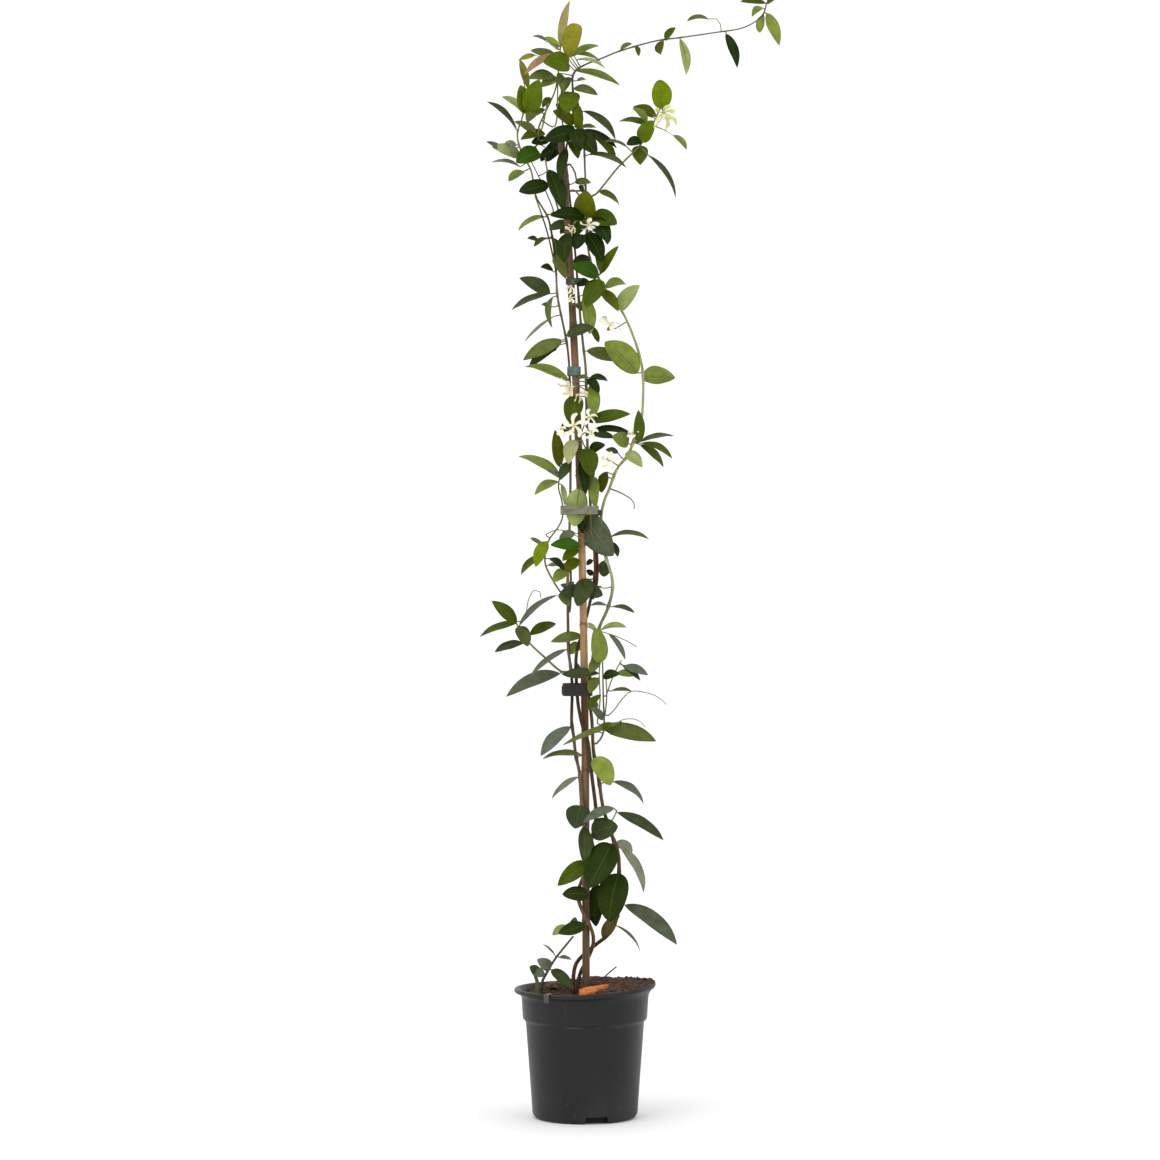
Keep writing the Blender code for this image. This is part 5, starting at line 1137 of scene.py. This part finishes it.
basalStems = {
    "basalShoot": {
        "node": "basal_shoot", "thickness": (2.0, 1.2), "bark": basalBark, "route": [
            (-52, 6, 112), (-52, 6, 156), (-47, 5, 170), (-35, 4, 190), (-14, 4, 216)],
        "leaves": [
            (-40, 2, 176, -13, -16, 156, 15, 25, "lower"), (-41, 0, 178, -57, -8, 190, 15, 20, "ash"),
            (-31, 0, 191, -16, -8, 190, 6, 40, "grey"), (-36, 4, 193, -51, 8, 206, 3, 40, "grey")]},
    "basalSprout": {
        "node": "basal_sprout", "thickness": (3.2, 2.0), "bark": shootMaterial, "route": [
            (-57, -12, 112), (-57, -12, 156), (-58, -13, 166), (-61, -13, 174)],
        "leaves": [
            (-60, -14, 176, -48, -20, 172, 13, 20, "grey"), (-57, -12, 174, -66, -15, 182, 13, 25, "lower")]},
    "basalSprig": {
        "node": "basal_sprig", "thickness": (1.2, 0.8), "bark": basalBark, "route": [
            (20, 16, 112), (20, 16, 156), (24, 16, 166), (38, 16, 178)],
        "leaves": []}}

# Flowers: stem, centre, way it looks, reach and kind of the petals. Buds: stem, root, tip
flowerRows = [
    ("middle", (-13, -32, 828), (0, -1, 0.1), 15, "creamPetal"),
    ("middle", (5, -30, 838), (0.4, -0.9, 0.4), 11, "creamPetal"),
    ("middle", (-29, -24, 824), (-0.8, -0.8, 0), 9, "creamPetal"),
    ("middle", (7, -34, 820), (0.5, -0.9, -0.2), 10, "creamPetal"),
    ("right", (5, -21, 1068), (0, -0.55, -0.85), 12, "creamPetal"),
    ("middle", (-17, -22, 980), (-0.1, -0.8, 0.7), 8, "creamPetal"),
    ("right", (31, -12, 950), (0.5, -0.4, 0.8), 17, "creamPetal"),
    ("right", (57, -16, 820), (-0.4, -0.7, 0.6), 8, "creamPetal"),
    ("right", (29, -12, 787), (0.3, -0.9, -0.3), 11, "creamPetal"),
    ("right", (94, -24, 1202), (0.25, -0.5, -0.85), 14, "greenPetal")]
wiltedRows = [  # with how far the petals close
    ("right", (94, -25, 1200), (0.12, -0.3, -0.95), 27, "greenPetal", 0.45),
    ("right", (-15, -26, 1066), (-0.4, -0.5, -0.7), 11, "wiltedPetal", 0.4),
    ("middle", (-8, -30, 867), (0.55, -0.4, -0.8), 17, "wiltedPetal", 0.42),
    ("middle", (-18, -26, 877), (-0.8, -0.5, -0.45), 21, "wiltedPetal", 0.4),
    ("middle", (-17, -22, 995), (-0.35, -0.45, -0.85), 15, "creamPetal", 0.45)]
budRows = [
    ("middle", (-9, -16, 876), (-25, -20, 872)),
    ("middle", (-17, -16, 1062), (-24, -22, 1066))]

leafTones = {   # top and underside, as they look in soft light
    "dark": ((23, 41, 2), (71, 84, 37)),
    "deep": ((35, 50, 8), (73, 84, 47)),
    "lower": ((54, 65, 35), (83, 92, 61)),
    "mid": ((63, 79, 5), (94, 107, 50)),
    "bright": ((77, 96, 2), (107, 124, 47)),
    "light": ((111, 127, 52), (124, 136, 71)),
    "young": ((122, 135, 54), (135, 146, 73)),
    "bronze": ((149, 118, 79), (158, 133, 98)),
    "grey": ((84, 94, 75), (101, 109, 92)),
    "olive": ((79, 84, 2), (101, 105, 43)),
    "vivid": ((45, 79, 2), (90, 112, 37)),
    "gold": ((125, 122, 30), (142, 136, 77)),
    "blush": ((142, 131, 83), (147, 136, 96)),
    "pale": ((142, 155, 92), (149, 160, 105)),
    "lime": ((109, 129, 2), (127, 144, 58)),
    "moss": ((88, 98, 45), (108, 118, 70)),
    "brown": ((90, 79, 41), (96, 84, 52)),
    "ash": ((118, 122, 98), (136, 140, 114)),
    "straw": ((133, 130, 50), (140, 138, 66)),
    "fern": ((75, 83, 42), (90, 98, 61)),
    "slate": ((77, 85, 63), (92, 99, 79)),
    "wan": ((166, 172, 118), (169, 175, 127))}

leafLook = {
    "along": 14, "across": 6, "thickness": 0.5, "stalkHalf": 0.45, "fold": (0.14, 0.42), "wave": 0.05,
    "sideBend": 0.03, "twist": 0.22, "tipCurl": 0.10, "depthOfCrown": 1.7, "arch": 0.08, "seed": 7,
    "pitch": (7, 13), "toneSpread": (0.86, 1.14), "backShade": (0.7, 0.7, 0.7, 1),
    "ribLine": ((0.0, 0.62), (0.1, 0.5), (0.25, 0.38), (0.45, 0.24), (0.68, 0.12))}    # share, radius
stalkLook = {"flowerGap": 6.2, "flowerRadius": 0.75, "budRadius": 0.65, "joint": 0.35, "jointSpan": 3.0}


def bladeWidth(share, slimness, end):
    # broad blades have rounder ends than slim ones; a row may give its own end
    start = 0.45 + 0.25 * slimness
    end = end or 0.62 + 0.23 * slimness
    widest = start / (start + end)
    return share ** start * (1 - share) ** end / (widest ** start * (1 - widest) ** end)


def faceDirection(axis, turn):
    # to the viewer at turn 0, to the sky at 90, away past 90
    viewer = Vector((0, -1, 0))
    facing = (viewer - axis * viewer.dot(axis)).normalized()
    sideways = axis.cross(facing)
    if sideways.z < -1e-6:
        sideways = -sideways
    return facing * math.cos(math.radians(turn)) + sideways * math.sin(math.radians(turn))


def makeLeafMaster():
    deselectAll()
    bpy.ops.mesh.primitive_grid_add(x_subdivisions=leafLook["along"], y_subdivisions=leafLook["across"],
                                    size=2)
    master = bpy.context.object
    master.name = "leafMaster"
    applyModifier(master, "SOLIDIFY", thickness=0.2, offset=0)
    places = pointsOf(master)
    leafMap = master.data.uv_layers[0] if master.data.uv_layers else master.data.uv_layers.new()
    leafMap.name = "leafMap"
    along = 0.5 - 0.5 * np.cos(np.pi * (places[:, 0] + 1) / 2)
    for loop in master.data.loops:
        leafMap.data[loop.index].uv = (along[loop.vertex_index], 0.5 + 0.5 * places[loop.vertex_index][1])
    addShare(master, "underside", (places[:, 2] < 0).astype(float))
    master.data.attributes.new("leafTone", "FLOAT_COLOR", "POINT")
    for face in master.data.polygons:
        face.use_smooth = True
    return master, along, places[:, 1].copy(), np.sign(places[:, 2])


leafMaster, leafAlong, leafAcross, leafSide = makeLeafMaster()


def makeBlade(row, draw, ribLines):
    # one leaf shaped from the master, and the line under its midrib
    base, tip, width, turn, toneName, arch, end = row
    axis = tip - base
    length = axis.length
    axis = axis.normalized()
    facing = faceDirection(axis, turn)
    across = facing.cross(axis)
    fold = draw.uniform(*leafLook["fold"])
    bend = draw.uniform(-1, 1) * leafLook["sideBend"] * length
    twist = draw.uniform(-1, 1) * leafLook["twist"]
    curl = draw.uniform(0.2, 1) * leafLook["tipCurl"] * length
    phase = draw.uniform(0, math.tau)
    pitch = draw.uniform(*leafLook["pitch"])
    slimness = min(1.0, max(0.0, (0.68 - width / length) / 0.3))
    outline = bladeWidth(np.clip(leafAlong, 0, 1), slimness, end)
    half = np.maximum(width / 2 * outline, leafLook["stalkHalf"] * (1 - 0.6 * leafAlong))
    lift = arch * length * 4 * leafAlong * (1 - leafAlong) - curl * np.clip(leafAlong - 0.7, 0, 1) ** 2 * 4
    wave = leafLook["wave"] * np.sin(leafAlong * pitch + phase + leafAcross) * np.abs(leafAcross) ** 2
    rise = lift + half * (fold * np.abs(leafAcross) ** 1.4 + wave)
    rise = rise + twist * leafAcross * half * (leafAlong - 0.3)
    rise = rise + leafSide * leafLook["thickness"] / 2 * (1 - 0.5 * np.abs(leafAcross))
    aside = leafAcross * half * (1 - 0.15 * fold) + bend * 4 * leafAlong * (1 - leafAlong)
    places = np.array(base) + np.outer(leafAlong * length, axis)
    places = places + np.outer(aside, across) + np.outer(rise, facing)
    leaf = copyOf(leafMaster, places * mm)
    top, under = (np.array(colour(*tint)) for tint in leafTones[toneName])
    if turn > 90:                       # the tone seen from the front is then the underside's
        top, under = top * leafLook["backShade"], top
    tones = np.where(leafSide[:, None] > 0, top, under)
    tones[:, :3] *= draw.uniform(*leafLook["toneSpread"])
    leaf.data.attributes["leafTone"].data.foreach_set("color", tones.ravel())
    ribLine = []
    for share, radius in leafLook["ribLine"]:
        drop = arch * length * 4 * share * (1 - share) - leafLook["thickness"] / 2
        sidestep = bend * 4 * share * (1 - share)
        ribLine.append((base + axis * (length * share) + across * sidestep + facing * drop, radius))
    ribLines.append(ribLine)
    return leaf


def aroundCane(row):
    height, bearing, reach = row
    angle = math.radians(bearing)
    return Vector((caneX(height) + reach * math.cos(angle), reach * math.sin(angle), height))


def blendPoints(before, start, end, after, share):
    return 0.5 * (2 * start + (end - before) * share
                  + (2 * before - 5 * start + 4 * end - after) * share ** 2
                  + (3 * start - before - 3 * end + after) * share ** 3)


def smoothRoute(rows, place=Vector, step=5.0):
    rows = [Vector(row) for row in rows]
    line = []
    for index in range(len(rows) - 1):
        before = rows[max(index - 1, 0)]
        after = rows[min(index + 2, len(rows) - 1)]
        start, end = rows[index], rows[index + 1]
        parts = max(1, round((place(start) - place(end)).length / step))
        line += [place(blendPoints(before, start, end, after, part / parts)) for part in range(parts)]
    return line + [place(rows[-1])]


def nearestPoint(routes, target):
    best = routes[0][0]
    for route in routes:
        for start, end in zip(route, route[1:]):
            along = end - start
            share = (target - start).dot(along) / along.length_squared
            point = start + along * min(1.0, max(0.0, share))
            if (point - target).length < (best - target).length:
                best = point
    return best


def taperedStrand(route, start, end, joints=()):
    # a route that thins out and swells a little where leaves grow from it
    strand = []
    for index, place in enumerate(route):
        radius = start + (end - start) * index / (len(route) - 1)
        near = min([(place - joint).length for joint in joints], default=99)
        swelling = stalkLook["joint"] * math.exp(-(near / stalkLook["jointSpan"]) ** 2)
        strand.append((place, radius * (1 + swelling)))
    return strand


def leafStalk(root, ribLine, draw):
    # a petiole from the stem that runs on as the rib under the blade
    base = ribLine[0][0]
    sag = Vector((0, draw.uniform(-0.5, 0.5), draw.uniform(-0.12, 0.04))) * (base - root).length
    route = smoothRoute([root, root.lerp(base, 0.55) + sag, base], step=2.5)
    return [(place, 0.85 - 0.04 * index) for index, place in enumerate(route)][:-1] + ribLine


def readLeaf(row):
    x, y, z, tipX, tipY, tipZ, width, turn, tone, *rest = row
    arch, end = rest + [leafLook["arch"], None][len(rest):]
    tip = Vector((tipX, y + leafLook["depthOfCrown"] * (tipY - y), tipZ))
    return Vector((x, y, z)), tip, width, turn, tone, arch, end


def flowerStalkRoute(routes, end, facing):
    root = nearestPoint(routes, end)
    ahead = Vector(facing).normalized()
    middle = root.lerp(end, 0.5) - ahead * (0.2 * (end - root).length)
    return smoothRoute([root, middle, end - ahead * 2.5, end], step=3.0)


def branchRoute(routes, points):
    # from the nearest stem through the points
    points = [Vector(point) for point in points]
    return smoothRoute([nearestPoint(routes, points[0])] + points)


def makeClimber(side, climber):
    draw = random.Random(leafLook["seed"] + len(climber["leaves"]))
    main = smoothRoute(climber["route"], aroundCane)
    routes = [main]
    shootStrands, twigStrands = [], []
    for start, end, points in climber["shoots"]:
        routes.append(branchRoute(routes, points))
        shootStrands.append(taperedStrand(routes[-1], start, end))
    for start, end, points in climber["twigs"]:
        twigStrands.append(taperedStrand(branchRoute(routes, points), start, end))
    for stem, centre, facing, *_ in flowerRows + wiltedRows:
        if stem == side:
            end = Vector(centre) - Vector(facing).normalized() * stalkLook["flowerGap"]
            route = flowerStalkRoute(routes, end, facing)
            shootStrands.append([(place, stalkLook["flowerRadius"]) for place in route])
    for stem, root, tip in budRows:
        if stem == side:
            route = flowerStalkRoute(routes, Vector(root), (Vector(tip) - Vector(root)).normalized())
            shootStrands.append([(place, stalkLook["budRadius"]) for place in route])
    blades, ribLines, roots = [], [], []
    for row in climber["leaves"]:
        leafRow = readLeaf(row)
        roots.append(nearestPoint(routes, leafRow[0]))
        blades.append(makeBlade(leafRow, draw, ribLines))
    stalks = [leafStalk(root, ribLine, draw) for root, ribLine in zip(roots, ribLines)]
    name = side.title()
    stem = makeTubes("stem" + name, [taperedStrand(main, *climber["thickness"], roots)] + twigStrands, 4)
    dress(stem, climber["bark"], ["leafy_stem_" + side])
    dress(makeTubes("shoots" + name, shootStrands, 2), shootMaterial)
    dress(makeTubes("leafStalks" + name, stalks, 1), shootMaterial)
    dress(joinAll(blades, "leaves" + name), leafMaterial)


for side, climber in climbers.items():
    makeClimber(side, climber)
    print("climber ready:", side)


def makeBasalStem(name, look):
    draw = random.Random(len(name))
    route = smoothRoute(look["route"])
    blades, ribLines = [], []
    for row in look["leaves"]:
        blades.append(makeBlade(readLeaf(row), draw, ribLines))
    stalks = [leafStalk(nearestPoint([route], line[0][0]), line, draw) for line in ribLines]
    stem = makeTubes(name, [taperedStrand(route, *look["thickness"])] + stalks, 3)
    dress(stem, look["bark"], [look["node"]])
    if blades:
        dress(joinAll(blades, name + "Leaves"), leafMaterial)


for stemName, stemLook in basalStems.items():
    makeBasalStem(stemName, stemLook)
bpy.data.objects.remove(leafMaster)
print("basal shoots ready")


# Flowers: five petals twisted like a pinwheel on a narrow tube

flowerLook = {
    "petals": 5, "thickness": 0.32, "fullReach": 12.0, "ripple": 0.02, "tipRound": 0.05, "cup": 0.04,
    "crumple": 0.07, "shares": (0.0, 0.28, 0.55, 0.8, 1.0),
    # each edge of a petal at these shares of its length: reach, bearing and lift
    "lowEdge": ((0.10, -26, 0.0), (0.40, -14, -0.02), (0.68, -4, -0.05), (0.90, 8, -0.05), (1.0, 22, -0.02)),
    "highEdge": ((0.10, 26, 0.0), (0.38, 18, 0.05), (0.64, 26, 0.12), (0.86, 35, 0.13), (0.97, 35, 0.06)),
    "tube": ((0, -6.5), (0.75, -6.5), (0.95, -5.2), (1.15, -3.6), (1.1, -2.2), (0.95, -1.2), (1.2, -0.5),
             (1.75, 0.1), (1.5, 0.12), (0.8, -0.9), (0.6, -2.4), (0, -2.6)),
    "calyx": ((0, -8.2), (0.8, -8.2), (1.3, -7.4), (1.35, -6.6), (1.5, -5.6), (1.2, -5.5), (0, -6.2)),
    "kinds": {"creamPetal": (colour(238, 236, 220), colour(226, 216, 160)),
              "wiltedPetal": (colour(218, 206, 168), colour(178, 154, 104)),
              "greenPetal": (colour(214, 218, 150), colour(180, 184, 96))}}


def petalEdge(name, share):
    # reach, bearing and lift of one edge of the petal
    return np.array([np.interp(share, flowerLook["shares"], column) for column in zip(*flowerLook[name])])


def makeCorolla():
    deselectAll()
    bpy.ops.mesh.primitive_grid_add(x_subdivisions=10, y_subdivisions=6, size=2)
    petal = bpy.context.object
    applyModifier(petal, "SOLIDIFY", thickness=0.2, offset=0)
    places = pointsOf(petal)
    share, across, side = (places[:, 0] + 1) / 2, places[:, 1], np.sign(places[:, 2])
    low, high = petalEdge("lowEdge", share), petalEdge("highEdge", share)
    reach, turn, lift = low + (high - low) * ((across + 1) / 2)
    reach = reach + flowerLook["tipRound"] * share ** 3 * (1 - across ** 2)
    turn = -np.radians(turn)
    lift = lift + flowerLook["ripple"] * np.sin(9 * share + 2 * across) * across
    lift = lift - flowerLook["cup"] * (1 - across ** 2) * share
    thickness = side * flowerLook["thickness"] / 2 / flowerLook["fullReach"]
    flat = np.stack([reach * np.cos(turn), reach * np.sin(turn), lift + thickness], axis=1)
    setPoints(petal, flat)
    addShare(petal, "fromThroat", reach)
    petals = []
    for number in range(flowerLook["petals"]):
        angle = math.tau * number / flowerLook["petals"] + math.pi
        petals.append(copyOf(petal, flat @ turnAbout(angle)))
    bpy.data.objects.remove(petal)
    corolla = joinAll(petals, "corollaMaster")
    closeAndTurnOut(corolla)
    return corolla


def makeFlowerMaster():
    corolla = makeCorolla()
    tube = spinOutline("tubeMaster", flowerLook["tube"], 12)
    addShare(tube, "fromThroat", np.zeros(len(tube.data.vertices)))
    calyx = spinOutline("calyxMaster", flowerLook["calyx"], 15)
    places = pointsOf(calyx)
    lobes = 0.5 + 0.5 * np.cos(5 * np.arctan2(places[:, 1], places[:, 0]))
    spread = lobes * np.clip(places[:, 2] / mm + 6.8, 0, 1)
    places[:, 2] += spread * np.hypot(places[:, 0], places[:, 1]) * 1.4
    setPoints(calyx, places)
    return corolla, tube, calyx


corollaMaster, tubeMaster, calyxMaster = makeFlowerMaster()
calyxes = []


def flowerAxes(facing):
    # sideways, up and outwards of a flower that looks this way
    facing = Vector(facing).normalized()
    right = -facing.cross(Vector((0, 0, 1))).normalized()
    return np.array([right, facing.cross(right), facing])


def placedCopy(master, shape, centre, axes):
    return copyOf(master, (np.array(centre) + shape @ axes) * mm)


def addCalyx(centre, axes):
    calyxes.append(placedCopy(calyxMaster, pointsOf(calyxMaster) / mm, centre, axes))


def placeFlower(number, row):
    centre, facing, reach, kind = row[1:]
    axes = flowerAxes(facing)
    corolla = placedCopy(corollaMaster, pointsOf(corollaMaster) * reach, centre, axes)
    tube = placedCopy(tubeMaster, pointsOf(tubeMaster) / mm, centre, axes)
    addCalyx(centre, axes)
    flower = joinAll([corolla, tube], "flowerBloom%d" % number)
    smoothByAngle(flower, 60)
    dress(flower, petalMaterials[kind], ["flower_%d" % number])


def placeWilted(number, row):
    # the petals fold forward and crumple
    centre, facing, reach, kind, close = row[1:]
    x, y, z = pointsOf(corollaMaster).T
    out = np.hypot(x, y)
    crumple = flowerLook["crumple"] * np.sin(x * 9 + number) * np.cos(y * 11)
    inward = 1 - close * out ** 0.6
    folded = np.stack([x * inward, y * inward, z + out * close + crumple], axis=1)
    axes = flowerAxes(facing)
    bloom = placedCopy(corollaMaster, folded * reach, centre, axes)
    bloom.name = "wiltedBloom%d" % number
    smoothByAngle(bloom, 60)
    addCalyx(centre, axes)
    dress(bloom, petalMaterials[kind])


petalMaterials = {kind: makePetalMaterial(kind, *tints) for kind, tints in flowerLook["kinds"].items()}
for flowerNumber, flowerRow in enumerate(flowerRows):
    placeFlower(flowerNumber + 1, flowerRow)
for wiltedNumber, wiltedRow in enumerate(wiltedRows):
    placeWilted(wiltedNumber + 1, wiltedRow)
flowerCalyxes = joinAll(calyxes, "flowerCalyxes")
smoothByAngle(flowerCalyxes, 60)
dress(flowerCalyxes, shootMaterial)
for master in (corollaMaster, tubeMaster, calyxMaster):
    bpy.data.objects.remove(master)
print("flowers ready")


# Closed buds, twisted to a point

budLook = {
    "outline": ((0, 0), (0.8, 0.02), (1.0, 0.2), (1.15, 0.45), (1.9, 0.62), (1.7, 0.78), (0.9, 0.93), (0, 1)),
    "sides": 20, "ridges": 0.12, "twist": 2.4}


def makeBud(number, row):
    root, tip = row[1:]
    axis = Vector(tip) - Vector(root)
    outline = [(radius, share * axis.length) for radius, share in budLook["outline"]]
    bud = spinOutline("flowerBud%d" % number, outline, budLook["sides"])
    places = pointsOf(bud) / mm
    share = places[:, 2] / axis.length
    angle = np.arctan2(places[:, 1], places[:, 0])
    ridges = 1 + budLook["ridges"] * np.cos(5 * angle) * share
    radius = np.hypot(places[:, 0], places[:, 1]) * ridges
    angle = angle + budLook["twist"] * share
    turned = np.stack([radius * np.cos(angle), radius * np.sin(angle), places[:, 2]], axis=1)
    turning = np.array(axis.to_track_quat("Z", "Y").to_matrix())
    setPoints(bud, (np.array(root) + turned @ turning.T) * mm)
    addShare(bud, "fromThroat", 0.1 + 0.5 * share)
    smoothByAngle(bud, 50)
    dress(bud, petalMaterials["creamPetal"], ["bud_%d" % number])


for budNumber, budRow in enumerate(budRows):
    makeBud(budNumber + 1, budRow)
print("buds ready")


print("all pieces ready")
